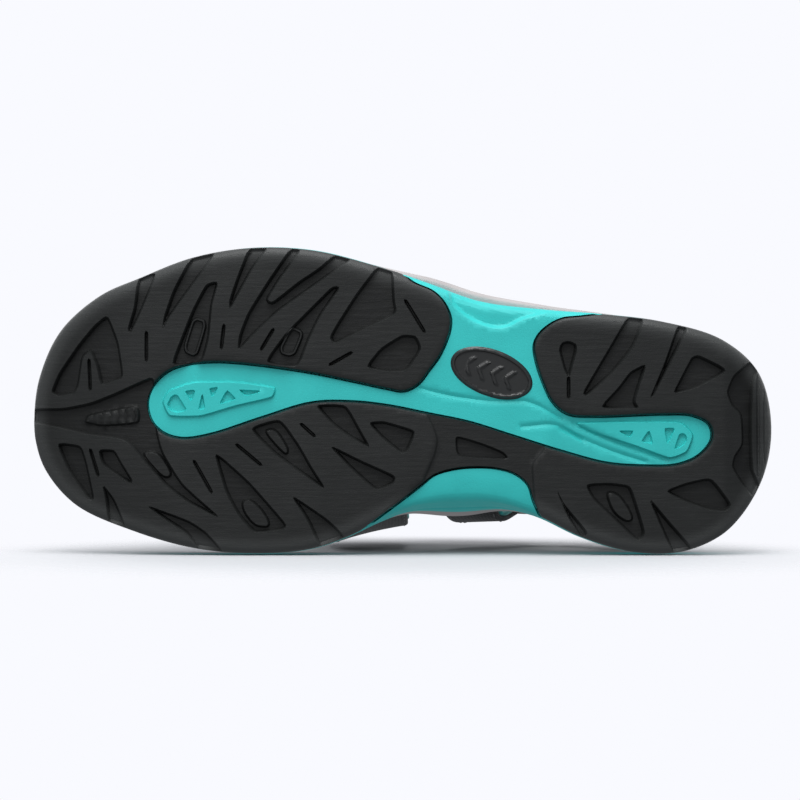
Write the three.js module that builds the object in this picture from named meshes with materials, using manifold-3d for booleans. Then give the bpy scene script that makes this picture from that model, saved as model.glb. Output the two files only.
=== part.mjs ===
// A strappy sport sandal for the left foot, as the separate pieces that it is made of.
// Millimetres. +X points to the toe, +Y to the outer side of the foot, +Z up.
// The origin is on the ground under the middle of the sole's outline.
import * as THREE from "three";
import { mergeVertices } from "three/addons/utils/BufferGeometryUtils.js";
import Module from "manifold-3d";

const wasm = await Module();
wasm.setup();
const { clamp, degToRad, lerp, smoothstep } = THREE.MathUtils;

// ---- Driving sizes ----
const soleLength = 272;
const soleWidth = 112;
const outsoleThickness = 5;
const treadDepth = 2.6;
const wrapHeight = 9; // how far the rubber climbs the side
const wrapThickness = 2;
const channelRecess = 2; // the foam shows this far above the tread face
const heelFoam = 16;
const toeFoam = 9;
const bedThickness = 8;
const rimHeight = 3;
const rimWidth = 4;
const socklinerThickness = 2;
const toeSpring = 14;
const heelLift = 5;
const innerFlare = 7.5; // how far the arch side leans out over its height
const outerFlare = 4;
const flareHeight = 24;
const shankThickness = 2;
const badgeLength = 31.6;
const badgeWidth = 17.2;
const badgeThickness = 1.6;

const strapThickness = 2;
const liningThickness = 1.5;
const padThickness = 4;
const patchThickness = 1;
const forefootWidth = 30;
const forefootHeight = 54; // crown of the forefoot strap above the footbed
const slotInset = 5; // from the edge of the footbed to the middle of a strap slot
const slotDepth = 5.5;
const quarterWidth = 20;
const postWidth = 18;
const ankleWidth = 24;
const collarWidth = 24;
const loopWidth = 11; // width of a strap where it loops on a ring
const tabWidth = 20;
const ringRadius = 13;
const ringWire = 4; // diameter
const ringRise = 43; // ring centres above the footbed
const ringSpread = 33; // ring centres each side of the heel's middle line
const barWidth = 3; // bars of the square forefoot ring
const barPitch = 12;

// ---- Fits ----
const seatGap = 0.3; // between pieces that touch
const slotClearance = 0.4;
const layerGap = 0.3; // between layers of strap

// ---- The outline is drawn at this reference size and scaled ----
const drawnLength = 272;
const drawnWidth = 112;
const along = (x) => (x * soleLength) / drawnLength;
const across = (y) => (y * soleWidth) / drawnWidth;
const scaled = ([x, y]) => new THREE.Vector2(along(x), across(y));

// ---- Stations along the foot ----
const flareStation = along(-21);
const springStation = along(60);
const heelStation = along(-118);
const foamHeelStation = along(-60);
const foamToeStation = along(45);
const ringStation = along(-58);
const forefootInner = along(11);
const forefootOuter = along(17);
const quarterInner = along(-26);
const quarterOuter = along(-27);
const postInner = along(-88);
const postOuter = along(-86);

// ---- Outlines, from the toe round the outer side to the heel and back ----
const soleDrawing = [
  [136, -5], [134, 8.5], [126, 25.5], [111, 38.5], [96, 45], [76, 52.5], [54, 56],
  [32, 55], [10, 49.5], [-9, 43], [-29, 36], [-53, 33], [-74, 31.5], [-95, 29],
  [-117, 22.5], [-131, 10.5], [-136, -9], [-132.5, -29], [-120, -47], [-104, -55],
  [-85, -55.5], [-66, -50], [-50, -42], [-35, -36.5], [-20, -35.5], [-5, -38],
  [8, -44], [20, -50], [34, -54.5], [54, -56], [76, -54], [98, -48], [120, -38.5],
  [131.5, -26], [135.5, -15],
];
// the long opening in the rubber that shows the foam, open at the outer waist
const channelDrawing = [
  [-15, 42], [-18, 31], [-15, 18], [-6, 6], [5, 4.5], [34, 10.5], [68, 14.5], [84, 11.5],
  [92, 2], [91, -8], [84, -13.5], [69, -12.5], [51, -6.5], [32, -1], [5, -2], [-24, -8],
  [-58, -18.5], [-84, -24], [-101, -23.5], [-113, -18], [-114.5, -10], [-106, -5],
  [-82, -5.5], [-63, -5.5], [-55, 0], [-50, 12.5], [-49, 21], [-57, 30], [-64, 42],
];
const archDrawing = [
  [18, -50], [8.5, -42.5], [0, -36], [-8, -29.5], [-19, -24.5], [-34, -24.5], [-44, -28],
  [-49, -37], [-53, -44], [-60, -54],
];
const treadPockets = {
  toePocket: [[108, 31], [118, 20], [128, 4], [120, 2.5], [117, 17], [113, 17], [110, 5.5], [101.5, 8.5]],
  firstSlit: [[96, 46], [97.5, 34], [100, 25], [95, 33], [89, 47]],
  secondSlit: [[76, 54], [83, 40.5], [87, 26], [78.5, 39], [66, 57]],
  firstBlade: [[71, 42.5], [80, 23], [84, 15], [72.5, 16], [69, 35], [66.5, 43.5]],
  thirdSlit: [[55.5, 58], [60, 44], [62.5, 33], [54, 48.5], [47, 58]],
  forkedPocket: [
    [40, 58], [48.5, 43.5], [56, 31.5], [59.5, 18], [45, 32.5], [24.5, 47], [14, 54],
    [23, 56], [37, 43.5], [48, 36], [34, 58],
  ],
  secondBlade: [[25, 41.5], [42, 24.5], [49, 15], [38, 14], [29.5, 31], [22, 41.5]],
  sidePocket: [[7, 53], [16.5, 38.5], [25, 25], [24.5, 20.5], [13.5, 26], [1.5, 31.5], [1, 50]],
  cornerPocket: [[13, 12.5], [7.5, 19], [-0.5, 24], [-7.5, 20], [-0.5, 10]],
  toeSplit: [
    [140, -3], [124, -3], [105, 2.5], [93.5, 7.5], [93.5, -11], [86.5, -19], [80, -30.5],
    [67, -41], [78, -37], [99, -16], [115, -12.5], [140, -7.5],
  ],
  innerToePocket: [[127, -15.5], [117, -16.5], [112.5, -36], [122.5, -26]],
  innerToeSlit: [[111, -18], [105, -18], [98, -30], [109.5, -23.5]],
  firstWedge: [[109.5, -30.5], [105, -36], [99, -52], [107, -52], [108, -37]],
  innerBlade: [[93.5, -38], [77, -44], [58, -60], [72, -60], [86, -43.5]],
  leafPocket: [[68, -19], [59.5, -41.5], [53, -48.5], [42, -46], [55, -30]],
  crossGroove: [[55.5, -8.5], [45, -6], [37, -16.5], [28, -32], [46, -19.5]],
  notch: [[31.5, -2], [20, -3.5], [11, -17.5], [25, -8.5]],
  ballPocket: [[12, -6.5], [-4.5, -11], [-1, -19.5], [7, -13.5]],
  ballLeaf: [[26.5, -16], [2, -27.5], [9, -33], [19, -24]],
  secondWedge: [[40.5, -34], [18, -51], [28, -58], [34, -43.5]],
  heelDrop: [[-57.5, 18.5], [-61, 21.5], [-64, 18], [-61.5, 2], [-59.5, 9.5]],
  heelBlade: [[-84, 35], [-66, 2.5], [-77, 10], [-92, 35]],
  heelNotch: [[-72, -3.5], [-83.5, 10.5], [-89.5, 13.5], [-86, -4]],
  heelSlit: [[-101, 33], [-90.5, 0.5], [-99.5, 16.5], [-108, 33]],
  heelLeaf: [[-106, 16], [-110, 16.5], [-119.5, 11], [-99.5, 3]],
  rearGroove: [
    [-131, 15], [-123, 7], [-126.5, -8], [-125.5, -23.5], [-131, -34], [-128.5, -36],
    [-122.5, -24], [-123.5, -8], [-120.5, 4], [-127, 17],
  ],
  innerHeelLeaf: [[-56, -31], [-69, -48.5], [-64, -52], [-60, -42]],
  innerHeelPocket: [[-68, -30.5], [-83.5, -31], [-89, -48.5], [-86.5, -51.5], [-79, -44.5]],
  innerHeelWedge: [[-90, -35], [-112, -58], [-100, -60], [-94.5, -45.5]],
  innerHeelTip: [[-96, -33], [-113, -28], [-120.5, -38], [-112.5, -41]],
};
const shankDrawing = [
  [30, 6], [-20, 8], [-80, 2], [-96, -10], [-82, -22], [-20, -15], [30, -12],
];
const badgeCentre = new THREE.Vector2(along(-33), across(10));
const badgeTurn = degToRad(20);

// ---- Sampling ----
const outlineSamples = 66;
const openingSamples = 44;
const bandStep = 12;
const pathSteps = 18;
const prismBottom = -12;
const prismTop = 48;
const prismSteps = 5;

// ---- Solids ----
function solid(geometry) {
  const bare = geometry.clone();
  bare.deleteAttribute("normal");
  bare.deleteAttribute("uv");
  const merged = mergeVertices(bare, 1e-3);
  const vertProperties = new Float32Array(merged.attributes.position.array);
  const triVerts = new Uint32Array(merged.index.array);
  return new wasm.Manifold(new wasm.Mesh({ numProp: 3, vertProperties, triVerts }));
}

function geometryOf(body) {
  const found = body.getMesh();
  const geometry = new THREE.BufferGeometry();
  geometry.setAttribute("position", new THREE.BufferAttribute(found.vertProperties, 3));
  geometry.setIndex(new THREE.BufferAttribute(found.triVerts, 1));
  return geometry;
}

function smoothLoop(points, samples) {
  const knots = points.map((point) => new THREE.Vector3(point.x, point.y, 0));
  const curve = new THREE.CatmullRomCurve3(knots, true, "centripetal");
  return curve.getSpacedPoints(samples).slice(0, samples);
}

function smoothRun(points, samples) {
  const knots = points.map((point) => new THREE.Vector3(point.x, point.y, 0));
  return new THREE.CatmullRomCurve3(knots, false, "centripetal").getSpacedPoints(samples);
}

function fittedOutline() {
  const loop = smoothLoop(soleDrawing.map(scaled), outlineSamples);
  const box = new THREE.Box3().setFromPoints(loop);
  const size = box.getSize(new THREE.Vector3());
  const middle = box.getCenter(new THREE.Vector3());
  return loop.map(
    (point) =>
      new THREE.Vector2(
        ((point.x - middle.x) * soleLength) / size.x,
        ((point.y - middle.y) * soleWidth) / size.y,
      ),
  );
}

const soleOutline = fittedOutline();

// y of the outline at a station, on the outer (+1) or inner (-1) side
function edge(x, side) {
  const reach = soleLength / 2 - 1;
  const station = clamp(x, -reach, reach);
  const crossings = [];
  soleOutline.forEach((start, i) => {
    const end = soleOutline[(i + 1) % soleOutline.length];
    if ((start.x - station) * (end.x - station) > 0 || start.x === end.x) return;
    crossings.push(lerp(start.y, end.y, (station - start.x) / (end.x - start.x)));
  });
  return side > 0 ? Math.max(...crossings) : Math.min(...crossings);
}

function middle(x) {
  return (edge(x, 1) + edge(x, -1)) / 2;
}

// sideways lean of the waist at full height
function flare(x, side) {
  const reach = along(side > 0 ? 24 : 20);
  const amount = side > 0 ? outerFlare : -innerFlare;
  return amount * Math.exp(-(((x - flareStation) / reach) ** 2));
}

function rimEdge(x, side) {
  return edge(x, side) + flare(x, side);
}

// the direction straight out from the rim at a station
function rimNormal(x, side) {
  const reach = along(8);
  const slope = (rimEdge(x + reach, side) - rimEdge(x - reach, side)) / (2 * reach);
  return new THREE.Vector3(-slope * side, side, 0).normalize();
}

// moves an outline inwards
function inset(points, distance) {
  const turn = Math.sign(THREE.ShapeUtils.area(points));
  return points.map((point, i) => {
    const before = points[(i + points.length - 1) % points.length];
    const after = points[(i + 1) % points.length];
    const run = new THREE.Vector2().subVectors(after, before).normalize();
    const inwards = new THREE.Vector2(-run.y, run.x).multiplyScalar(distance * turn);
    return new THREE.Vector2(point.x + inwards.x, point.y + inwards.y);
  });
}

// an upright prism over an outline; a flared one leans out with the waist
function prism(points, flared = false) {
  const shape = new THREE.Shape(points.map((point) => new THREE.Vector2(point.x, point.y)));
  const depth = prismTop - prismBottom;
  const steps = flared ? prismSteps : 1;
  const geometry = new THREE.ExtrudeGeometry(shape, { depth, steps, bevelEnabled: false });
  geometry.translate(0, 0, prismBottom);
  if (flared) leanOut(geometry.attributes.position);
  return solid(geometry);
}

function leanOut(position) {
  for (let i = 0; i < position.count; i += 1) {
    const x = position.getX(i);
    const side = position.getY(i) > middle(x) ? 1 : -1;
    const share = clamp(position.getZ(i) / flareHeight, 0, 1);
    position.setY(i, position.getY(i) + flare(x, side) * share);
  }
}

// ---- Side profile ----
function ground(x) {
  const toe = Math.max(0, x - springStation) / (soleLength / 2 - springStation);
  const heel = Math.max(0, heelStation - x) / (soleLength / 2 + heelStation);
  return toeSpring * toe * toe + heelLift * heel;
}

function foamBottom(x) {
  return ground(x) + outsoleThickness + seatGap;
}

function foamTop(x) {
  const share = smoothstep(x, foamHeelStation, foamToeStation);
  return foamBottom(x) + lerp(heelFoam, toeFoam, share);
}

const bedBottom = (x) => foamTop(x) + seatGap;
const trayFloor = (x) => bedBottom(x) + bedThickness;
const rimTop = (x) => trayFloor(x) + rimHeight;
const socklinerBottom = (x) => trayFloor(x) + seatGap;
const socklinerTop = (x) => socklinerBottom(x) + socklinerThickness;
const lifted = (profile, amount) => (x) => profile(x) + amount;

// the slab between two height profiles
function band(lower, upper) {
  const reach = soleLength / 2 + bandStep;
  const count = Math.round((2 * reach) / bandStep);
  const stations = Array.from({ length: count + 1 }, (_, i) => lerp(-reach, reach, i / count));
  const under = stations.map((x) => new THREE.Vector2(x, lower(x)));
  const over = stations.map((x) => new THREE.Vector2(x, upper(x))).reverse();
  const depth = 2 * soleWidth;
  const shape = new THREE.Shape([...under, ...over]);
  const geometry = new THREE.ExtrudeGeometry(shape, { depth, bevelEnabled: false });
  geometry.rotateX(Math.PI / 2);
  geometry.translate(0, depth / 2, 0);
  return solid(geometry);
}

const farAbove = () => prismTop + outsoleThickness;
const farBelow = () => prismBottom - outsoleThickness;

// ---- Sole ----
const fullPrism = prism(soleOutline, true);
const innerPrism = prism(inset(soleOutline, wrapThickness), true);
const foamFootPrism = prism(inset(soleOutline, wrapThickness + seatGap), true);
const channelOutline = smoothRun(channelDrawing.map(scaled), openingSamples);
const archOutline = smoothRun(archDrawing.map(scaled), Math.round(openingSamples / 3));

function openingPrism(outline, distance, outwards) {
  const flat = outline.map((point) => new THREE.Vector2(point.x, point.y));
  const beyond = outwards * soleWidth;
  const last = flat[flat.length - 1];
  const closed = [...flat, new THREE.Vector2(last.x, beyond), new THREE.Vector2(flat[0].x, beyond)];
  return prism(inset(closed, distance));
}

function openings(distance) {
  return openingPrism(channelOutline, distance, 1).add(openingPrism(archOutline, distance, -1));
}

function pocketCutter() {
  const pockets = Object.values(treadPockets).map((points) => prism(points.map(scaled)));
  const all = pockets.reduce((sum, pocket) => sum.add(pocket));
  return all.intersect(band(farBelow, lifted(ground, treadDepth)));
}

function makeOutsole() {
  const shell = fullPrism.intersect(band(ground, lifted(ground, wrapHeight)));
  const floor = lifted(ground, outsoleThickness);
  const hollow = innerPrism.intersect(band(floor, farAbove));
  return shell.subtract(hollow).subtract(openings(0)).subtract(pocketCutter());
}

function ellipsePrism(radiusX, radiusY) {
  const curve = new THREE.EllipseCurve(
    badgeCentre.x, badgeCentre.y, radiusX, radiusY, 0, 2 * Math.PI, false, badgeTurn,
  );
  return prism(curve.getSpacedPoints(28).slice(0, 28));
}

const badgeFace = lifted(ground, channelRecess / 2);
const badgeBack = lifted(badgeFace, badgeThickness);

function makeBadge() {
  return ellipsePrism(badgeLength / 2, badgeWidth / 2).intersect(band(badgeFace, badgeBack));
}

function badgeSeat() {
  const prismAll = ellipsePrism(badgeLength / 2 + seatGap, badgeWidth / 2 + seatGap);
  return prismAll.intersect(band(farBelow, lifted(badgeBack, seatGap)));
}

const shankOutline = smoothLoop(shankDrawing.map(scaled), 28);
const shankBottom = lifted(foamTop, -shankThickness - seatGap);

function makeShank() {
  return prism(shankOutline).intersect(band(shankBottom, lifted(foamTop, -seatGap)));
}

function makeMidsole() {
  const wrapTop = lifted(ground, wrapHeight + seatGap);
  const foot = foamFootPrism.intersect(band(foamBottom, lifted(wrapTop, 1)));
  const body = fullPrism.intersect(band(wrapTop, foamTop));
  const channelFloor = lifted(ground, channelRecess);
  const bosses = openings(seatGap).intersect(fullPrism).intersect(band(channelFloor, wrapTop));
  const pocket = prism(inset(shankOutline, -seatGap));
  const shankPocket = pocket.intersect(band(lifted(shankBottom, -seatGap), farAbove));
  return foot.add(body).add(bosses.add(body)).subtract(shankPocket).subtract(badgeSeat());
}

// ---- Straps: a flat ribbon bent along a path ----
// A path gives, for t from 0 to 1, a point and the direction away from the foot.
function exactFrame(path, t) {
  const step = 1e-3;
  const { point, outward } = path(t);
  const ahead = path(t + step).point;
  const run = ahead.clone().sub(path(t - step).point).normalize();
  const normal = outward.clone().addScaledVector(run, -outward.dot(run)).normalize();
  const width = normal.clone().cross(run);
  return { point, run, normal, width };
}

// Every layer of a strap bends at the same stations, and the layers of a strap that twists
// are equally wide, so that layers stay parallel.
function frameAt(path, t) {
  const station = Math.floor(t * pathSteps + 1e-6);
  const start = exactFrame(path, station / pathSteps);
  const end = exactFrame(path, (station + 1) / pathSteps);
  const share = t * pathSteps - station;
  const mixed = (key) => start[key].clone().lerp(end[key], share);
  return { point: mixed("point"), run: mixed("run"), normal: mixed("normal"), width: mixed("width") };
}

function stationsOf(from, to) {
  const first = Math.floor(from * pathSteps + 1e-6) + 1;
  const stations = [from];
  for (let i = first; i / pathSteps < to - 1e-3; i += 1) {
    if (i / pathSteps > from + 1e-3) stations.push(i / pathSteps);
  }
  return [...stations, to];
}

// the share of a path that lies a straight distance after (+) or before (-) a point on it
function shareAt(path, t, distance) {
  const start = frameAt(path, t).point;
  const step = Math.sign(distance) * 1e-3;
  let share = t;
  while (frameAt(path, share).point.distanceTo(start) < Math.abs(distance)) share += step;
  return share;
}

// Splits the under side of a ribbon along the same diagonals as its upper side.
function matchDiagonals(geometry) {
  const { start, count } = geometry.groups[5];
  const index = geometry.index;
  for (let i = start; i < start + count; i += 6) {
    index.setX(i + 2, index.getX(i + 4));
    index.setX(i + 3, index.getX(i));
  }
}

function ribbon(path, { from, to, width, thickness, lift = 0 }) {
  const stations = stationsOf(from, to);
  const geometry = new THREE.BoxGeometry(1, 1, 1, stations.length - 1, 1, 1);
  const position = geometry.attributes.position;
  for (let i = 0; i < position.count; i += 1) {
    const t = stations[Math.round((position.getX(i) + 0.5) * (stations.length - 1))];
    const frame = frameAt(path, t);
    const wide = typeof width === "function" ? width(t) : width;
    const spot = frame.point
      .addScaledVector(frame.width, position.getY(i) * wide)
      .addScaledVector(frame.normal, lift + position.getZ(i) * thickness);
    position.setXYZ(i, spot.x, spot.y, spot.z);
  }
  matchDiagonals(geometry);
  return solid(geometry);
}

// puts a geometry made in (run, width, normal) axes at a frame of a path
function placeAt(geometry, frame, lift = 0) {
  const matrix = new THREE.Matrix4().makeBasis(frame.run, frame.width, frame.normal);
  matrix.setPosition(frame.point.clone().addScaledVector(frame.normal, lift));
  return geometry.applyMatrix4(matrix);
}

const cuffRadius = ringWire / 2 + seatGap + strapThickness;

// the eye that a strap end makes round a ring
function cuff(frame, width) {
  return solid(placeAt(new THREE.CylinderGeometry(cuffRadius, cuffRadius, width, 12), frame));
}

// ---- Forefoot strap: over the foot from one slot to the other ----
const squareness = 0.8;
const bulge = { outer: 4, inner: 15 };

function forefootPath(t) {
  const angle = degToRad(180 * t);
  const x = lerp(forefootOuter, forefootInner, clamp(t, 0, 1));
  const outer = rimEdge(x, 1) - slotInset;
  const inner = rimEdge(x, -1) + slotInset;
  const half = (outer - inner) / 2;
  const side = Math.cos(angle) >= 0 ? 1 : -1;
  const swell = side > 0 ? bulge.outer : bulge.inner;
  const rise = Math.max(0, Math.sin(angle)) ** squareness;
  const spread = Math.abs(Math.cos(angle)) ** squareness;
  const sideways = half * spread + swell * Math.max(0, Math.sin(2 * angle) * side);
  const buried = Math.max(0, -t, t - 1) * 180;
  const y = (outer + inner) / 2 + side * (t < 0 || t > 1 ? half : sideways);
  const z = trayFloor(x) + rimHeight + forefootHeight * (t < 0 || t > 1 ? 0 : rise) - buried;
  const outward = rimNormal(x, side).multiplyScalar(Math.abs(Math.cos(angle)));
  outward.z = Math.max(0, Math.sin(angle));
  return { point: new THREE.Vector3(x, y, z), outward };
}

const buriedShare = (slotDepth + rimHeight) / 180;
const ringShare = 0.3; // where the square ring lies along the strap
const outerBarShare = shareAt(forefootPath, ringShare, -barPitch / 2);
const innerBarShare = shareAt(forefootPath, ringShare, barPitch / 2);

function squareRing(extra) {
  const half = { run: (barPitch + barWidth) / 2 + extra, width: forefootWidth / 2 + 4 + extra };
  const hole = { run: (barPitch - barWidth) / 2 - extra, width: forefootWidth / 2 + 1 - extra };
  const rectangle = ({ run, width }) => [
    new THREE.Vector2(-run, -width), new THREE.Vector2(run, -width),
    new THREE.Vector2(run, width), new THREE.Vector2(-run, width),
  ];
  const shape = new THREE.Shape(rectangle(half));
  shape.holes.push(new THREE.Path(rectangle(hole)));
  const depth = barWidth + 2 * extra;
  const geometry = new THREE.ExtrudeGeometry(shape, { depth, bevelEnabled: false });
  geometry.translate(0, 0, -depth / 2);
  return solid(placeAt(geometry, frameAt(forefootPath, ringShare)));
}

function barFrame(direction) {
  const frame = frameAt(forefootPath, ringShare);
  frame.point.addScaledVector(frame.run, (direction * barPitch) / 2);
  return frame;
}

const forefootSlot = { width: forefootWidth, thickness: strapThickness };

function forefootStrap(from, to, direction) {
  const strap = ribbon(forefootPath, { from, to, ...forefootSlot });
  return strap.add(cuff(barFrame(direction), forefootWidth)).subtract(squareRing(slotClearance));
}

// ---- Ankle rings, and the straps that loop on them ----
const ringHeight = trayFloor(ringStation) + ringRise;

function ringCentre(side) {
  return new THREE.Vector3(ringStation, middle(ringStation) + side * ringSpread, ringHeight);
}

function ankleRing(side, extra = 0) {
  const ring = new THREE.TorusGeometry(ringRadius, ringWire / 2 + extra, 6, 20);
  ring.rotateX(Math.PI / 2);
  const centre = ringCentre(side);
  return solid(ring.translate(centre.x, centre.y, centre.z));
}

// the point on a ring's wire at an angle from +X towards +Z
function wirePoint(side, angle) {
  const turn = degToRad(angle);
  const reach = new THREE.Vector3(Math.cos(turn), 0, Math.sin(turn));
  return ringCentre(side).addScaledVector(reach, ringRadius);
}

// a strap from a slot in the footbed up to a ring
function risingPath(station, side, angle, lean) {
  const y = rimEdge(station, side) - side * slotInset;
  const foot = new THREE.Vector3(station, y, trayFloor(station) + rimHeight);
  const end = wirePoint(side, angle);
  const turn = degToRad(angle);
  const away = new THREE.Vector3(Math.cos(turn), 0, Math.sin(turn));
  const rise = end.z - foot.z;
  const first = foot.clone().add(new THREE.Vector3(0, side * lean, rise * 0.5));
  const second = end.clone().addScaledVector(away, rise * 0.4);
  const curve = new THREE.CubicBezierCurve3(foot, first, second, end);
  const down = first.clone().sub(foot).normalize();
  const ringNormal = new THREE.Vector3(0, side, 0);
  const footNormal = rimNormal(station, side);
  return (t) => {
    const outward = footNormal.clone().lerp(ringNormal, clamp(t, 0, 1));
    if (t < 0) return { point: foot.clone().addScaledVector(down, t * 100), outward };
    if (t <= 1) return { point: curve.getPoint(t), outward };
    return { point: end.clone().addScaledVector(away, (1 - t) * 100), outward };
  };
}

const risingBuried = (slotDepth + rimHeight) / 100;

function taper(wide) {
  return (t) => lerp(wide, loopWidth, smoothstep(t, 0.35, 0.85));
}

function risingStrap({ path, wide }) {
  const width = taper(wide);
  const strap = ribbon(path, { from: -risingBuried, to: 1, width, thickness: strapThickness });
  return strap.add(cuff(frameAt(path, 1), loopWidth));
}

// a strap from ring to ring, round the front of the ankle or behind the heel
function archPath(angle, depth) {
  const turn = degToRad(angle);
  const reach = new THREE.Vector3(Math.cos(turn), 0, Math.sin(turn));
  const start = wirePoint(1, angle);
  const end = wirePoint(-1, angle);
  const centre = start.clone().add(end).multiplyScalar(0.5);
  const spread = start.y - centre.y;
  return (t) => {
    const swing = Math.PI * clamp(t, 0, 1);
    const over = Math.max(0, -t, t - 1) * 100;
    const point = centre.clone().addScaledVector(reach, depth * Math.sin(swing) - over);
    point.y += spread * Math.cos(swing);
    const outward = new THREE.Vector3(0, Math.cos(swing), 0).addScaledVector(reach, Math.sin(swing));
    return { point, outward };
  };
}

const ankleAngle = 35;
const ankleDepth = along(39);
const collarAngle = 160;
const collarDepth = along(47);
const anklePath = archPath(ankleAngle, ankleDepth);
const collarPath = archPath(collarAngle, collarDepth);

function archTaper(wide) {
  return (t) => lerp(loopWidth, wide, smoothstep(Math.min(t, 1 - t), 0.06, 0.24));
}

function archStrap(path, wide) {
  const width = archTaper(wide);
  const strap = ribbon(path, { from: 0, to: 1, width, thickness: strapThickness });
  const eyes = cuff(frameAt(path, 0), loopWidth).add(cuff(frameAt(path, 1), loopWidth));
  const rings = ankleRing(1, seatGap).add(ankleRing(-1, seatGap));
  return strap.add(eyes).subtract(rings);
}

// ---- Layers over and under a strap ----
const underLift = (thickness) => -(strapThickness + thickness) / 2 - layerGap;
const loopLift = (strapThickness + patchThickness) / 2 + layerGap;
const hookLift = loopLift + patchThickness + layerGap;
const tabLift = hookLift + (patchThickness + strapThickness) / 2 + layerGap;
const liningStart = 2.5; // above the rim of the footbed
const eyeClear = cuffRadius + 4 * seatGap; // a layer keeps this far from a ring's wire
const tabStart = 3.4; // from a ring's wire to the root of a tab

function lining(path, from, to, wide, thickness) {
  return ribbon(path, { from, to, width: wide, thickness, lift: underLift(thickness) });
}

// patches end at stations of their path
const at = (station) => station / pathSteps;

function closure(path, { tab, hook, loop, wide }) {
  const patch = { width: wide, thickness: patchThickness };
  return {
    tab: ribbon(path, { ...tab, width: wide, thickness: strapThickness, lift: tabLift }),
    hook: ribbon(path, { ...hook, ...patch, lift: hookLift }),
    loop: ribbon(path, { ...loop, ...patch, lift: loopLift }),
  };
}

// ---- Pull loop behind the heel ----
const pullLoopWidth = 12;
const pullLoopReach = 10;
const pullLoopHeight = 9;

function pullLoopPath() {
  const frame = frameAt(collarPath, 0.5);
  const base = frame.point.clone().addScaledVector(frame.normal, strapThickness / 2 + layerGap);
  return (t) => {
    const swing = Math.PI * (t - 0.5);
    const point = base
      .clone()
      .addScaledVector(frame.normal, pullLoopReach * Math.cos(swing))
      .addScaledVector(frame.width, pullLoopHeight * Math.sin(swing));
    const outward = frame.normal.clone().multiplyScalar(Math.cos(swing));
    outward.addScaledVector(frame.width, Math.sin(swing));
    return { point, outward };
  };
}

// ---- The rising straps ----
const risers = [
  { name: "quarter", side: 1, station: quarterOuter, angle: -50, wide: quarterWidth, lean: 0 },
  { name: "quarter", side: -1, station: quarterInner, angle: -50, wide: quarterWidth, lean: 16 },
  { name: "heel_post", side: 1, station: postOuter, angle: -119, wide: postWidth, lean: 0 },
  { name: "heel_post", side: -1, station: postInner, angle: -119, wide: postWidth, lean: 0 },
].map((riser) => ({
  ...riser,
  path: risingPath(riser.station, riser.side, riser.angle, riser.lean),
}));
const sideName = (side) => (side > 0 ? "outer" : "inner");

function slotCutter() {
  const grow = 2 * slotClearance;
  const thickness = strapThickness + grow;
  const width = forefootWidth + grow;
  const deeper = slotClearance / 180;
  const first = ribbon(forefootPath, { from: -buriedShare - deeper, to: 0.08, width, thickness });
  const last = ribbon(forefootPath, { from: 0.92, to: 1 + buriedShare + deeper, width, thickness });
  const rising = risers.map(({ path, wide }) =>
    ribbon(path, {
      from: -risingBuried - slotClearance / 100, to: 0.3, width: wide + grow, thickness,
    }),
  );
  return rising.reduce((sum, cutter) => sum.add(cutter), first.add(last));
}

function makeFootbed(slots) {
  const slab = fullPrism.intersect(band(bedBottom, rimTop));
  const tray = prism(inset(soleOutline, rimWidth), true).intersect(band(trayFloor, farAbove));
  return slab.subtract(tray).subtract(slots);
}

function makeSockliner(slots) {
  const sheet = prism(inset(soleOutline, rimWidth + seatGap), true);
  return sheet.intersect(band(socklinerBottom, socklinerTop)).subtract(slots);
}

// ---- Materials ----
const finish = (color, roughness, metalness = 0) =>
  new THREE.MeshStandardMaterial({ color, roughness, metalness });
const rubber = () => finish(0x2b2c2e, 0.72);
const foam = () => finish(0x2bb5ad, 0.55);
const greyFoam = () => finish(0xbdb8b8, 0.75);
const webbing = () => finish(0x1c1d1f, 0.85);
const tealFabric = () => finish(0x2aa7a0, 0.9);
const hookFabric = () => finish(0x161719, 0.95);
const blackPlastic = () => finish(0x18191b, 0.4);
const nylon = () => finish(0x3a3d40, 0.5);

// ---- The assembly ----
const group = new THREE.Group();

function piece(name, body, material) {
  const mesh = new THREE.Mesh(geometryOf(body), material);
  mesh.name = name;
  group.add(mesh);
}

function addSole() {
  const slots = slotCutter();
  piece("outsole", makeOutsole(), rubber());
  piece("oval_badge", makeBadge(), rubber());
  piece("midsole", makeMidsole(), foam());
  piece("shank", makeShank(), nylon());
  piece("footbed", makeFootbed(slots), greyFoam());
  piece("sockliner", makeSockliner(slots), greyFoam());
}

function addForefoot() {
  piece("forefoot_ring", squareRing(0), blackPlastic());
  piece("forefoot_strap_outer", forefootStrap(-buriedShare, outerBarShare, -1), webbing());
  piece("forefoot_strap_inner", forefootStrap(innerBarShare, 1 + buriedShare, 1), webbing());
  const wide = forefootWidth;
  const outerStart = shareAt(forefootPath, 0, liningStart);
  const outerEnd = shareAt(forefootPath, outerBarShare, -eyeClear);
  const innerStart = shareAt(forefootPath, innerBarShare, eyeClear);
  const innerEnd = shareAt(forefootPath, 1, -liningStart);
  const outerLining = lining(forefootPath, outerStart, outerEnd, wide, liningThickness);
  const innerLining = lining(forefootPath, innerStart, innerEnd, wide, liningThickness);
  piece("forefoot_lining_outer", outerLining, tealFabric());
  piece("forefoot_lining_inner", innerLining, tealFabric());
  const layers = closure(forefootPath, {
    tab: { from: shareAt(forefootPath, innerBarShare, tabStart), to: at(12) },
    hook: { from: at(8), to: at(11) },
    loop: { from: at(8), to: at(13) },
    wide,
  });
  piece("forefoot_tab", layers.tab, webbing());
  piece("forefoot_hook_patch", layers.hook, hookFabric());
  piece("forefoot_loop_patch", layers.loop, hookFabric());
}

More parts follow.
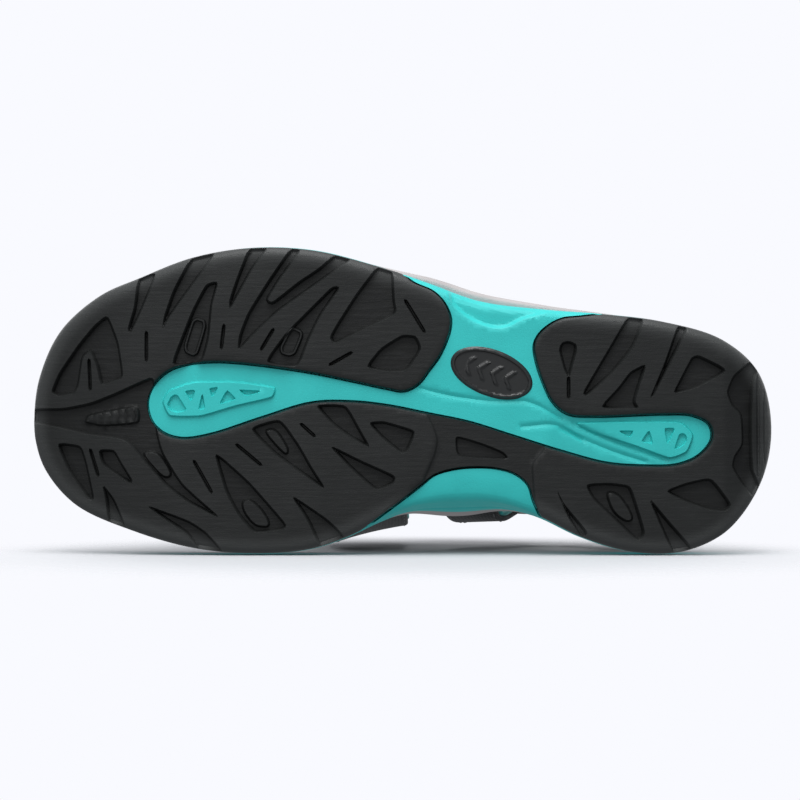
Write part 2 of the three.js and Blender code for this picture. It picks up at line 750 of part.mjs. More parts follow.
function addRisers() {
  const rings = ankleRing(1, seatGap).add(ankleRing(-1, seatGap));
  for (const riser of risers) {
    const end = `${riser.name}_strap_${sideName(riser.side)}`;
    piece(end, risingStrap(riser).subtract(rings), webbing());
    const width = taper(riser.wide);
    const start = shareAt(riser.path, 0, liningStart);
    const finish = shareAt(riser.path, 1, -eyeClear);
    const layer = lining(riser.path, start, finish, width, liningThickness);
    piece(`${riser.name}_lining_${sideName(riser.side)}`, layer, tealFabric());
  }
  for (const side of [1, -1]) {
    piece(`ankle_ring_${sideName(side)}`, ankleRing(side), blackPlastic());
  }
}

function addAnkle() {
  piece("ankle_strap", archStrap(anklePath, ankleWidth), webbing());
  const width = archTaper(ankleWidth);
  const pad = lining(anklePath, 0.2, 0.8, width, padThickness);
  piece("ankle_pad", pad, tealFabric());
  const layers = closure(anklePath, {
    tab: { from: shareAt(anklePath, 0, tabStart), to: at(10) },
    hook: { from: at(5), to: at(9) },
    loop: { from: at(5), to: at(12) },
    wide: tabWidth,
  });
  piece("ankle_tab", layers.tab, webbing());
  piece("ankle_hook_patch", layers.hook, hookFabric());
  piece("ankle_loop_patch", layers.loop, hookFabric());
}

function addHeelCollar() {
  piece("heel_collar", archStrap(collarPath, collarWidth), webbing());
  const width = archTaper(collarWidth);
  piece("heel_collar_pad", lining(collarPath, 0.2, 0.8, width, padThickness), tealFabric());
  const layers = closure(collarPath, {
    tab: { from: shareAt(collarPath, 0, tabStart), to: at(7) },
    hook: { from: at(4), to: at(6) },
    loop: { from: at(4), to: at(8) },
    wide: tabWidth,
  });
  piece("heel_tab", layers.tab, webbing());
  piece("heel_hook_patch", layers.hook, hookFabric());
  piece("heel_loop_patch", layers.loop, hookFabric());
  const loop = { from: 0, to: 1, width: pullLoopWidth, thickness: strapThickness };
  piece("heel_pull_loop", ribbon(pullLoopPath(), loop), tealFabric());
}

addSole();
addForefoot();
addRisers();
addAnkle();
addHeelCollar();

export default group;
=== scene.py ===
import math

import bpy
import numpy as np
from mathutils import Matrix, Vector, geometry, kdtree


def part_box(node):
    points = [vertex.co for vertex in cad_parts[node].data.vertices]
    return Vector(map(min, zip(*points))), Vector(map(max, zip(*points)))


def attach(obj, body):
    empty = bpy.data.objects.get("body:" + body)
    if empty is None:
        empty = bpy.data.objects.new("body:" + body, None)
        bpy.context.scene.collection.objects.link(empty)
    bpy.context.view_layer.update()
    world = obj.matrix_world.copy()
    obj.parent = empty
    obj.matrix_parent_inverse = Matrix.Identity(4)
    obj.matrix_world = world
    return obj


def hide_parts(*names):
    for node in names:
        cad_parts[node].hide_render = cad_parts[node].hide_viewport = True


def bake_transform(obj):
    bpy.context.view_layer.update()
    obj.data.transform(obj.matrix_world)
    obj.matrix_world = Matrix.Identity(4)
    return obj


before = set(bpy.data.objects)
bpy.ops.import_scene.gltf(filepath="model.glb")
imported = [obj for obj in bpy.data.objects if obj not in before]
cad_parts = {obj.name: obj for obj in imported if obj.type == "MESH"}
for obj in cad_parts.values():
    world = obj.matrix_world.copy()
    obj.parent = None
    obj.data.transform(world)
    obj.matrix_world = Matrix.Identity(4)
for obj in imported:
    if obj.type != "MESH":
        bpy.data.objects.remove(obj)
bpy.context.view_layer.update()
mm = 0.001


# a node's output socket, wrapped so that materials read as expressions
class Wire:
    def __init__(self, kit, socket):
        self.kit = kit
        self.socket = socket

    def maths(self, operation, *others, flip=False):
        values = (*others, self) if flip else (self, *others)
        return self.kit.node("ShaderNodeMath", {"operation": operation}, list(values))

    def __add__(self, other):
        return self.maths("ADD", other)

    __radd__ = __add__

    def __sub__(self, other):
        return self.maths("SUBTRACT", other)

    def __rsub__(self, other):
        return self.maths("SUBTRACT", other, flip=True)

    def __mul__(self, other):
        return self.maths("MULTIPLY", other)

    __rmul__ = __mul__

    def __truediv__(self, other):
        return self.maths("DIVIDE", other)

    def __pow__(self, other):
        return self.maths("POWER", other)

    def sine(self):
        return self.maths("SINE")

    def root(self):
        return self.maths("SQRT")

    def smooth(self, low, high):
        settings = {"interpolation_type": "SMOOTHSTEP"}
        values = {"Value": self, "From Min": low, "From Max": high}
        return self.kit.node("ShaderNodeMapRange", settings, values)


# one material's node tree, with its Principled shader
class Kit:
    def __init__(self, name):
        self.material = bpy.data.materials.new(name)
        self.material.use_nodes = True
        self.tree = self.material.node_tree
        self.shader = self.tree.nodes["Principled BSDF"]

    def link(self, value, socket):
        if isinstance(value, Wire):
            self.tree.links.new(value.socket, socket)
        else:
            socket.default_value = value

    # any node: its type, its settings, then its values or links by name or in order
    def node(self, kind, settings=None, inputs=None, output=0):
        made = self.tree.nodes.new(kind)
        for key, value in (settings or {}).items():
            setattr(made, key, value)
        pairs = inputs.items() if isinstance(inputs, dict) else enumerate(inputs or [])
        for key, value in pairs:
            self.link(value, made.inputs[key])
        return Wire(self, made.outputs[output])

    def place(self, scale=(1, 1, 1), turn=(0, 0, 0)):
        source = self.node("ShaderNodeTexCoord", output="Object")
        return self.node("ShaderNodeMapping", inputs={"Vector": source, "Scale": scale, "Rotation": turn})

    def split(self, vector, axis):
        return self.node("ShaderNodeSeparateXYZ", inputs=[vector], output=axis)

    def noise(self, place, scale, detail=3, rough=0.6):
        values = {"Vector": place, "Scale": scale, "Detail": detail, "Roughness": rough}
        return self.node("ShaderNodeTexNoise", inputs=values)

    def cells(self, place, scale):
        return self.node("ShaderNodeTexVoronoi", inputs={"Vector": place, "Scale": scale})

    def mix(self, share, first, second):
        made = self.tree.nodes.new("ShaderNodeMix")
        made.data_type = "RGBA"
        for socket, value in ((made.inputs[0], share), (made.inputs[6], first), (made.inputs[7], second)):
            self.link(value if isinstance(value, (Wire, float, int)) else (*value, 1), socket)
        return Wire(self, made.outputs[2])

    def attribute(self, name):
        return self.node("ShaderNodeAttribute", {"attribute_name": name}, output="Fac")

    # depth is in millimetres
    def bump(self, height, depth):
        return self.node("ShaderNodeBump", inputs={"Height": height, "Distance": depth * mm, "Strength": 1.0})

    def finish(self, **values):
        names = {"colour": "Base Color", "rough": "Roughness", "normal": "Normal", "sheen": "Sheen Weight",
                 "sheenRough": "Sheen Roughness", "shine": "Specular IOR Level"}
        for key, value in values.items():
            socket = self.shader.inputs[names[key]]
            self.link((*value, 1) if key == "colour" and not isinstance(value, Wire) else value, socket)
        return self.material


# the sole, in millimetres
sole = {
    "outsole": 5.0,  # thickness of the rubber
    "wrap": 9.0,  # how far the rubber climbs the side
    "wrapWall": 2.0,  # thickness of the rubber on the side
    "shoulder": 3.4,  # radius of the tread's outer edge
    "treadDepth": 2.7,
    "slitDepth": 2.2,
    "recess": 1.8,  # the foam lies this far above the tread face
    "heelFoam": 16.0,
    "toeFoam": 9.0,
    "bed": 8.0,  # thickness of the footbed in its tray
    "rim": 3.0,  # height of the footbed's rim over the tray
    "rimWidth": 4.0,
    "sockliner": 2.0,
    "toeSpring": 14.0,
    "heelLift": 5.0,
    "innerFlare": 7.5,  # how far the waist leans out on either side
    "outerFlare": 4.0,
    "flareHeight": 24.0,
    "gap": 0.3,  # between neighbouring pieces
}
soleLow, soleHigh = (np.array(corner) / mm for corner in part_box("outsole"))
soleLength = soleHigh[0] - soleLow[0]
soleWidth = soleHigh[1] - soleLow[1]
drawnLength, drawnWidth = 272, 112  # the size that the outlines below are drawn at


def along(x):
    return x * soleLength / drawnLength


def scaled(points):
    return np.array(points, float) * [soleLength / drawnLength, soleWidth / drawnWidth]


# 0 below low, 1 above high, and an even curve between them
def smoothstep(value, low, high):
    share = np.clip((value - low) / (high - low), 0, 1)
    return share * share * (3 - 2 * share)


# a centripetal curve through the points, evenly spaced
def curveThrough(points, spacing, closed=True):
    knots = np.array(points, float)
    if closed:
        ring = np.vstack([knots[-1:], knots, knots[:2]])
    else:
        ring = np.vstack([2 * knots[0] - knots[1], knots, 2 * knots[-1] - knots[-2]])
    found = []
    share = np.linspace(0, 1, 14, endpoint=False)[:, None]
    for first, start, end, last in zip(ring, ring[1:], ring[2:], ring[3:]):
        pairs = ((first, start), (start, end), (end, last))
        before, now, after = (max(np.linalg.norm(b - a) ** 0.5, 1e-4) for a, b in pairs)
        leave = ((start - first) / before - (end - first) / (before + now) + (end - start) / now) * now
        arrive = ((end - start) / now - (last - start) / (now + after) + (last - end) / after) * now
        a = 2 * start - 2 * end + leave + arrive
        b = -3 * start + 3 * end - 2 * leave - arrive
        found.append(a * share**3 + b * share**2 + leave * share + start)
    dense = np.vstack(found + [knots[:1] if closed else knots[-1:]])
    return evenly(dense, spacing, closed)


def evenly(points, spacing, closed=True):
    steps = np.r_[0, np.cumsum(np.linalg.norm(np.diff(points, axis=0), axis=1))]
    count = max(4, int(round(steps[-1] / spacing)))
    places = np.linspace(0, steps[-1], count + 1)
    made = np.stack([np.interp(places, steps, points[:, axis]) for axis in range(points.shape[1])], axis=1)
    return made[:-1] if closed else made


# rounds the corners of a closed outline
def softened(points, bite=0.22, rounds=3):
    ring = np.array(points, float)
    for _ in range(rounds):
        after = np.roll(ring, -1, axis=0)
        ring = np.stack([ring + (after - ring) * bite, after - (after - ring) * bite], axis=1).reshape(-1, 2)
        bite = 0.25
    return ring


chunk = 4000  # points measured at once


def isInside(loop, at):
    startX, startY = loop[:, 0], loop[:, 1]
    endX, endY = np.roll(startX, -1), np.roll(startY, -1)
    result = np.zeros(len(at), bool)
    for first in range(0, len(at), chunk):
        x, y = at[first:first + chunk, 0, None], at[first:first + chunk, 1, None]
        rise = np.where(endY == startY, 1e-9, endY - startY)
        crossed = ((startY > y) != (endY > y)) & (x < (endX - startX) * (y - startY) / rise + startX)
        result[first:first + chunk] = crossed.sum(1) % 2 == 1
    return result


def distanceTo(loop, at, closed=True):
    start = loop if closed else loop[:-1]
    run = (np.roll(loop, -1, axis=0) if closed else loop[1:]) - start
    squared = np.maximum((run**2).sum(1), 1e-9)
    result = np.empty(len(at))
    for first in range(0, len(at), chunk):
        offset = at[first:first + chunk, None] - start
        share = np.clip((offset * run).sum(2) / squared, 0, 1)
        gap = offset - share[..., None] * run
        result[first:first + chunk] = np.sqrt((gap**2).sum(2).min(1))
    return result


# distance into a closed outline, negative outside it
def depthInside(loop, at):
    return np.where(isInside(loop, at), 1, -1) * distanceTo(loop, at)


# whether a measured depth is the one wanted, closely enough for a ring to stay unbroken there
def isAt(depth, distance):
    return np.abs(depth - distance) < 0.12


# moves a closed outline inwards (or outwards when the distance is negative)
def inset(loop, distance):
    area = (loop[:, 0] * np.roll(loop[:, 1], -1) - np.roll(loop[:, 0], -1) * loop[:, 1]).sum()
    run = np.roll(loop, -1, axis=0) - np.roll(loop, 1, axis=0)
    run /= np.maximum(np.linalg.norm(run, axis=1, keepdims=True), 1e-9)
    return loop + np.stack([-run[:, 1], run[:, 0]], axis=1) * distance * np.sign(area)


# from the toe round the outer side to the heel and back
soleDrawing = [
    [136, -5], [134, 8.5], [126, 25.5], [111, 38.5], [96, 45], [76, 52.5], [54, 56],
    [32, 55], [10, 49.5], [-9, 43], [-29, 36], [-53, 33], [-74, 31.5], [-95, 29],
    [-117, 22.5], [-131, 10.5], [-136, -9], [-132.5, -29], [-120, -47], [-104, -55],
    [-85, -55.5], [-66, -50], [-50, -42], [-35, -36.5], [-20, -35.5], [-5, -38],
    [8, -44], [20, -50], [34, -54.5], [54, -56], [76, -54], [98, -48], [120, -38.5],
    [131.5, -26], [135.5, -15],
]
# the opening in the rubber that shows the foam, open at the outer waist
channelDrawing = [
    [4, 50], [-4, 43], [-11.6, 39.4], [-15.8, 35], [-18, 28.5], [-14.5, 17.5],
    [-10, 11], [-6, 6], [-1, 3.6], [5, 4.5],
    [19, 7.5], [34, 10.5], [55.5, 13.5], [68, 14.3], [78, 13.4], [85, 11], [90.5, 6], [93, -0.5],
    [91.5, -7.5], [87, -12], [80, -14], [69.5, -12.5], [51, -6.5], [32.5, -1], [18, -0.6],
    [5, -2], [-10, -5], [-24.5, -8], [-39, -12.5], [-58, -18.5], [-75, -23], [-88, -24],
    [-101, -23.5], [-109, -20], [-113.5, -14], [-112.5, -8.5], [-106, -5.2], [-95.5, -4.8],
    [-70.5, -5.6], [-61, -4.8], [-55.5, -0.5], [-52, 6.5], [-49.5, 14], [-48.7, 20],
    [-50.5, 24], [-54.5, 27.5], [-59, 29.6], [-66, 30.4], [-76, 32], [-84, 36],
]
archDrawing = [
    [18, -50], [8.5, -42.5], [0, -36], [-7, -30.5], [-12, -26.5], [-19, -24.3], [-27, -23.6],
    [-35.5, -24.3], [-42, -26.5], [-46.5, -30.5], [-48.5, -36.5], [-51.5, -42.5], [-60, -52],
]


def fittedOutline():
    loop = curveThrough(soleDrawing, 1.6)
    low, high = loop.min(0), loop.max(0)
    return (loop - (low + high) / 2) * [soleLength, soleWidth] / (high - low)


outline = fittedOutline()
stations = np.linspace(-soleLength / 2 + 1, soleLength / 2 - 1, 540)


def edgeTable(side):
    found = []
    for x in stations:
        start, end = outline, np.roll(outline, -1, axis=0)
        hit = (start[:, 0] - x) * (end[:, 0] - x) <= 0
        share = (x - start[hit, 0]) / (end[hit, 0] - start[hit, 0] + 1e-12)
        crossings = start[hit, 1] + share * (end[hit, 1] - start[hit, 1])
        found.append(crossings.max() if side > 0 else crossings.min())
    return np.array(found)


edges = {1: edgeTable(1), -1: edgeTable(-1)}


def edge(x, side):
    return np.interp(x, stations, edges[side])


def middle(x):
    return (edge(x, 1) + edge(x, -1)) / 2


def flare(x, side):
    spread = np.where(x > along(-21), along(24), along(45))
    outer = sole["outerFlare"] * np.exp(-(((x - along(-21)) / spread) ** 2))
    inner = -sole["innerFlare"] * np.exp(-(((x - along(-21)) / along(20)) ** 2))
    return np.where(side > 0, outer, inner)


def rimEdge(x, side):
    return edge(x, side) + flare(x, side)


def ground(x):
    toe = np.maximum(0, x - along(60)) / (soleLength / 2 - along(60))
    heel = np.maximum(0, along(-118) - x) / (soleLength / 2 + along(-118))
    return sole["toeSpring"] * toe**2 + sole["heelLift"] * heel


def foamTop(x):
    share = smoothstep(x, along(-60), along(45))
    foam = sole["heelFoam"] + (sole["toeFoam"] - sole["heelFoam"]) * share
    return ground(x) + sole["outsole"] + sole["gap"] + foam


def trayFloor(x):
    return foamTop(x) + sole["gap"] + sole["bed"]


# leans a point out with the waist, by its height and how near the edge it is
def leanOut(points, fromEdge, outerLean=1.0):
    side = np.where(points[:, 1] > middle(points[:, 0]), 1, -1)
    share = np.clip(points[:, 2] / sole["flareHeight"], 0, 1) * (1 - smoothstep(fromEdge, 8, 26))
    points[:, 1] += flare(points[:, 0], side) * share * np.where(side > 0, outerLean, 1)


collection = bpy.context.scene.collection


def newPiece(name, vertices, faces, material, sharp=40):
    mesh = bpy.data.meshes.new(name)
    mesh.from_pydata(np.asarray(vertices).tolist(), [], [list(map(int, face)) for face in faces])
    mesh.validate()
    mesh.polygons.foreach_set("use_smooth", np.ones(len(mesh.polygons), bool))
    mesh.set_sharp_from_angle(angle=math.radians(sharp))
    mesh.materials.append(material)
    made = bpy.data.objects.new(name, mesh)
    collection.objects.link(made)
    return made


# the points of a piece seen from above, in millimetres
def planOf(piece):
    flat = np.empty(len(piece.data.vertices) * 3)
    piece.data.vertices.foreach_get("co", flat)
    return flat.reshape(-1, 3)[:, :2] / mm


def addAttribute(piece, name, values):
    layer = piece.data.attributes.new(name, "FLOAT", "POINT")
    layer.data.foreach_set("value", np.asarray(values, np.float32))


# the points that lie further than a distance from all the others
def clearOf(others, points, distance):
    tree = kdtree.KDTree(len(others))
    for index, (x, y) in enumerate(others):
        tree.insert((x, y, 0), index)
    tree.balance()
    return points[[tree.find((x, y, 0))[2] > distance for x, y in points]]


# a moulded plate of triangles inside a border, with a lower and an upper face and a wall.
# lower and upper give heights at points of the plan; wall gives [share of the height, how far out] rows.
def mouldedPlate(name, border, rings, lower, upper, isKept, material, spacing, wall=(), outerLean=1.0):
    points, joins = [], []
    count = 0
    for ring, closed in [(border, True)] + rings:
        size = len(ring)
        points.append(ring)
        links = [(count + i, count + (i + 1) % size) for i in range(size if closed else size - 1)]
        joins += links
        count += size
    xs = np.arange(-soleLength / 2, soleLength / 2, spacing)
    ys = np.arange(-soleWidth / 2 - 8, soleWidth / 2 + 8, spacing)
    filling = np.array([[x + (spacing / 2 if row % 2 else 0), y] for row, y in enumerate(ys) for x in xs])
    filling = clearOf(np.vstack(points), filling[isKept(filling)], spacing * 0.45)
    everything = np.vstack(points + [filling])
    made = geometry.delaunay_2d_cdt([Vector(point) for point in everything], joins, [], 0, 1e-3)
    plan = np.array([tuple(point) for point in made[0]])
    triangles = np.array([face for face in made[2] if len(face) == 3])
    triangles = triangles[isKept(plan[triangles].mean(1))]
    used = np.unique(triangles)
    order = np.full(len(plan), -1)
    order[used] = np.arange(len(used))
    plan, triangles = plan[used], order[triangles]
    first, second, third = (plan[triangles[:, corner]] for corner in range(3))
    turned = np.cross(second - first, third - first) < 0
    triangles[turned] = triangles[turned][:, ::-1]
    return stackFaces(name, plan, triangles, lower, upper, material, wall, outerLean)


# the plan's triangles below and above, and rows of faces between them along the border
def stackFaces(name, plan, triangles, lower, upper, material, wall, outerLean):
    low, high = lower(plan), upper(plan)
    sides = np.vstack([triangles[:, [0, 1]], triangles[:, [1, 2]], triangles[:, [2, 0]]])
    known = {(a, b) for a, b in sides.tolist()}
    border = [(a, b) for a, b in sides.tolist() if (b, a) not in known]
    ahead = dict(border)
    behind = {b: a for a, b in border}
    total = len(plan)
    vertices = [np.column_stack([plan, low]), np.column_stack([plan, high])]
    faces = triangles[:, ::-1].tolist() + (triangles + total).tolist()
    rims = sorted(ahead)
    fromEdge = np.abs(distanceTo(outline, plan))
    edgeGaps = [fromEdge, fromEdge]
    levels = [{i: i for i in rims}]
    index = 2 * total
    for share, reach in wall:
        level, row = {}, []
        for i in rims:
            run = plan[ahead[i]] - plan[behind.get(i, i)]
            away = np.array([run[1], -run[0]]) / max(np.linalg.norm(run), 1e-9)
            spot = plan[i] + away * reach
            row.append([*spot, low[i] + (high[i] - low[i]) * share])
            level[i] = index
            index += 1
        vertices.append(np.array(row))
        edgeGaps.append(fromEdge[rims])
        levels.append(level)
    levels.append({i: i + total for i in rims})
    for lowerLevel, upperLevel in zip(levels, levels[1:]):
        for a, b in border:
            faces.append([lowerLevel[a], lowerLevel[b], upperLevel[b], upperLevel[a]])
    points = np.vstack(vertices)
    leanOut(points, np.concatenate(edgeGaps), outerLean)
    return newPiece(name, points * mm, faces, material)


# shapes sunk in the tread, in millimetres on the drawn sole
pockets = {
    "toe": [[107.5, 31.5], [112.5, 27.5], [118.5, 20.5], [126, 10], [129, 3], [126.5, 1.5], [120, 2.5],
            [118.5, 5.5], [117, 16], [114, 18.5], [111.5, 12.5], [110, 5.5], [105, 7], [101.5, 8.5],
            [103.5, 21.5]],
    "slitOne": [[96, 47], [97.5, 34], [100, 26], [99, 24.5], [96, 30.5], [92.5, 38.5], [89, 47]],
    "slitTwo": [[75, 55], [83, 40.5], [86.5, 30.5], [87, 26], [85, 30], [78.5, 39], [65, 57]],
    "bladeOne": [[71, 42.5], [76, 33], [80, 23], [84, 12.5], [72.5, 13.5], [70, 23], [69, 35], [66.5, 43.5]],
    "slitThree": [[54.5, 58], [60, 44], [62.5, 36.5], [62.5, 33], [59.5, 38.5], [54, 48.5], [46.5, 58]],
    "fork": [[38.5, 58], [48.5, 43.5], [56, 31.5], [59, 23.5], [59.5, 18], [53.5, 24.5], [45, 32.5],
             [36.5, 38.5], [24.5, 47], [16, 52.5], [20, 57], [30, 48], [37, 43.5], [47, 35.5], [49, 36.5],
             [44.5, 44], [34, 58]],
    "bladeTwo": [[25, 41.5], [33.5, 33], [42, 24.5], [50, 13.5], [37.5, 12], [34, 21.5], [29.5, 31],
                 [22, 41.5]],
    "side": [[7, 51], [16.5, 38.5], [23.5, 27.5], [26, 23], [24.5, 20.5], [13.5, 26], [1.5, 31.5],
             [2.5, 37], [3, 49]],
    "corner": [[13, 12], [7.5, 19], [-0.5, 24], [-5.5, 23.5], [-7.5, 19], [-3, 12], [-0.5, 10.5], [5, 10.5]],
    "innerOne": [[127, -15.5], [117.5, -16.5], [115.5, -22.5], [112.5, -36], [114, -37], [122.5, -25.5]],
    "innerTwo": [[111, -18], [105, -18], [102.5, -22.5], [98, -29.5], [99, -30.5], [109.5, -23.5]],
    "wedgeOne": [[109.5, -30.5], [105, -36], [99, -50], [107, -50], [108, -37]],
    "bladeThree": [[93.5, -38], [77, -44], [71, -48], [61, -59], [72, -58], [78, -48.5], [86, -43.5]],
    "leafOne": [[68, -19], [64, -33], [59.5, -41.5], [53.5, -48.5], [43, -47], [41.5, -45.5], [55, -30],
                [64.5, -21.5]],
    "cross": [[55.5, -10], [44, -6.5], [37, -16.5], [32.5, -24.5], [27, -33], [39, -24.5], [46, -19.5]],
    "notch": [[31.5, -1.5], [20, -1.5], [14.5, -11.5], [11, -17.5], [19, -13], [25, -8.5]],
    "ball": [[12, -8], [6.5, -7.5], [-5.5, -11], [-2.5, -18], [-0.5, -19.5], [7, -13.5]],
    "ballLeaf": [[26.5, -16], [14.5, -22], [2, -27.5], [2.5, -30], [9, -33], [19, -24]],
    "wedgeTwo": [[40.5, -34], [26.5, -43.5], [18, -52], [28, -57], [34, -43.5]],
    "toeSplit": [[141, -3], [124.5, -3], [114, -1], [105, 2.5], [96, 6.5], [90, 9], [89, -12], [87, -19],
                 [80, -30.5], [65, -43.5], [78, -37], [86.5, -30.5], [99, -16], [102.5, -14],
                 [115, -12.5], [128, -9.5], [141, -7.5]],
    "heelDrop": [[-57.5, 18.5], [-58.5, 21], [-61, 21.7], [-63.8, 20.5], [-64, 18.5], [-62.5, 13],
                 [-61.2, 8], [-59.5, 11]],
    "bladeFour": [[-84, 33], [-75.5, 18.5], [-66, 2.5], [-67.5, 1.5], [-77, 10], [-84.5, 19], [-90, 33]],
    "heelNotch": [[-72, -3], [-79.5, 5], [-83.5, 10.5], [-89.5, 13.5], [-86.5, 4.5], [-85, -0.5],
                  [-87, -3]],
    "slitFive": [[-102, 31], [-96, 13.5], [-90.5, 0.5], [-92, 2], [-99.5, 16.5], [-106.5, 30]],
    "leafTwo": [[-106, 16], [-108.5, 16.5], [-119.5, 11], [-107.5, 4.5], [-99.5, 2.5], [-99.5, 3.5]],
    "rear": [[-130, 18], [-127, 14], [-121, 9], [-118.5, 3], [-120.5, -2], [-124, -5], [-124.5, -16],
             [-121.5, -20], [-120.5, -24], [-124, -30], [-130, -37], [-133, -34], [-128.5, -26],
             [-128, -16], [-128, -4], [-128.5, 6], [-133, 15]],
    "leafThree": [[-56, -31], [-59, -37.5], [-68.5, -48.5], [-66, -51], [-61, -43]],
    "heelLeaf": [[-67, -30.5], [-75.5, -30], [-83.5, -31], [-86, -38.5], [-89, -48.5], [-86.5, -51.5],
                 [-79, -44.5], [-70, -36]],
    "leafFour": [[-90, -35], [-97.5, -44], [-109, -57], [-101, -60], [-94.5, -45.5]],
    "leafFive": [[-96, -33], [-104, -30], [-113, -28], [-120.5, -38], [-118.5, -40.5], [-112.5, -40],
                 [-104, -37]],
    "bridge": [[-19.5, -12.5], [-25.5, -14], [-31.5, -16], [-37.5, -18.5], [-40, -21.5], [-20, -20.5]],
}
narrowSlits = [
    [[114.5, 15], [114, 4]], [[93, 25], [93, 14.5]], [[64.5, 27.5], [65.5, 19]], [[46.5, 26], [51, 18.5]],
    [[26, 13], [18, 17.5]], [[114, -18], [111, -27.5]], [[75.5, -22], [69, -33.5]],
    [[60, -16], [51, -23.5]], [[36.5, -8.5], [31.5, -13]], [[-1.5, 36.5], [-8.5, 25]],
    [[-61, 8.5], [-61, 1]],
]
# grooves along the rear of the heel
heelRidges = [[[-130.4, 10], [-130.6, -28]], [[-133, 7], [-133.2, -24]]]
# raised labels that stand in pockets: solid ones, then frames
lozenges = [
    [[94.5, -18.5], [88.5, -18.5], [83, -27], [86.5, -29], [94, -21]],
    [[58.5, -37], [55.5, -35.5], [51.5, -38.5], [48, -43.5], [48, -46.5], [53.5, -46], [57.5, -41]],
    [[50, -10.5], [45.5, -10], [40.5, -18], [42, -20.5], [48.5, -13.5]],
    [[-74.5, -33.5], [-77, -33], [-80, -34.5], [-83.5, -39.5], [-85, -43.5], [-82.5, -44.5],
     [-79, -42.5], [-76.5, -39.5]],
]
framedLozenges = [
    [[79, 17.5], [79.5, 20], [76.5, 29.5], [74.5, 30.5], [71.5, 29.5], [71, 27], [74, 17], [76, 16]],
    [[44, 17], [44.5, 19.5], [41, 26], [39, 27], [36, 25.5], [35.7, 23.5], [38.5, 16.8], [41, 16]],
]
# the ribbed bar at the toe, and the low stretch of tread at the waist
toeLug = [[115, -5], [96, -1.5], [95.5, -8.5], [110, -9.5], [117, -8]]
lowBridge = [
    [-8, -3], [-11.5, -9.5], [-13, -14.5], [-12, -19.5], [-6, -33], [-40, -30], [-49.5, -42],
    [-48.5, -30.5], [-48, -23], [-52, -18.5], [-56, -12], [-30, -6],
]
# the foam's raised pods with their windows, its creases and its step at the waist
pods = [
    [[87.5, -0.5], [85, 4], [76, 7], [60, 7], [45.5, 5], [46.5, 1], [60, -2], [73, -6], [85, -6]],
    [[-62.5, -8], [-82.5, -7.5], [-102.5, -7.5], [-107, -12.5], [-104.5, -19], [-98, -21.5],
     [-86.5, -17], [-70.5, -12]],
]
windows = [
    [[85.5, -1.5], [84, 1.5], [82, 2.5], [78, -3.5], [82, -4.5], [84.5, -3.5]],
    [[79, 3.5], [75, 4], [76.5, -0.5]], [[72.5, 3], [71.5, -3], [74, -3.5]],
    [[70, 4.5], [66.5, 5], [69, 1]], [[63.5, 4], [60, 0.5], [66.5, -1.5]],
    [[59.5, 4], [50.5, 3.5], [56.5, 1.5]], [[-79, -11], [-85, -11], [-83.5, -13.5]],
    [[-90.5, -10.5], [-92, -16], [-87.5, -15]], [[-96, -10], [-100, -10], [-98.5, -13.5], [-97, -16]],
    [[-101.5, -12], [-103.5, -12], [-104.5, -14], [-103, -16.5], [-99.5, -18]],
]
foamCreases = [
    [[-62.5, -8], [-74.5, -13.5], [-86.5, -18], [-96.5, -21.5]],
    [[-58.5, -10.5], [-68.5, -15], [-78.5, -19], [-89.5, -22.5]],
    [[-44, -9.5], [-56.5, -9], [-66, -14.5]],
    [[-7, 4.5], [-17, 2], [-31.5, 0], [-46.5, -0.5], [-58.5, -6.5]],
]
waistStep = [[-17, 42], [-17.5, 36], [-21.5, 32], [-26.5, 28.5], [-34, 26], [-39, 26.5], [-44, 29.5],
             [-52, 31.5], [-60, 36], [-60, 44]]
archCrease = [[-2.5, -38], [-10, -36.5], [-24.5, -35.5], [-35.5, -36.5], [-46.5, -40], [-53.5, -44.5]]


# a narrow strip with pointed ends
def strip(start, end, width):
    start, end = np.array(start, float), np.array(end, float)
    run = (end - start) / np.linalg.norm(end - start)
    away = np.array([-run[1], run[0]]) * width / 2
    return np.array([start - run * width / 2, start + away, end + away, end + run * width / 2,
                     end - away, start - away])


# a shape sunk (or raised) in a face, with a sloping wall inside its edge
class Pocket:
    def __init__(self, points, depth, wall=0.85, lip=0.2, bite=0.13):
        found = softened(scaled(points), bite, 2)
        self.loop = evenly(np.vstack([found, found[:1]]), 1.0)
        self.depth = depth
        self.wall = wall
        self.lip = lip

    def share(self, at):
        low = self.loop.min(0) - self.lip
        high = self.loop.max(0) + self.lip
        near = np.where(((at >= low) & (at <= high)).all(1))[0]
        result = np.zeros(len(at))
        if len(near):
            result[near] = smoothstep(depthInside(self.loop, at[near]), -self.lip, self.wall)
        return result

    # outlines of the lip and the foot of the wall, broken where they'd cross
    def rings(self):
        found = []
        for distance in (-self.lip, 0.1, 0.4 * self.wall, 0.7 * self.wall, self.wall):
            ring = inset(self.loop, distance)
            found += brokenRuns(ring, isAt(depthInside(self.loop, ring), distance))
        return found


# the stretches of a ring whose points are right, each with whether it is closed
def brokenRuns(ring, right):
    if right.all():
        return [(ring, True)]
    found, run = [], []
    for point, isRight in zip(ring, right):
        if isRight:
            run.append(point)
        elif run:
            found.append(run)
            run = []
    found.append(run)
    return [(np.array(run), False) for run in found if len(run) > 1]


channel = curveThrough(scaled(channelDrawing), 1.2, closed=False)
arch = curveThrough(scaled(archDrawing), 1.2, closed=False)
channelLoop = np.vstack([channel, [[channel[-1, 0], 90], [channel[0, 0], 90]]])
archLoop = np.vstack([arch, [[arch[-1, 0], -90], [arch[0, 0], -90]]])


# distance into either opening in the rubber, negative under the rubber
def depthInOpening(at):
    return np.maximum(depthInside(channelLoop, at), depthInside(archLoop, at))


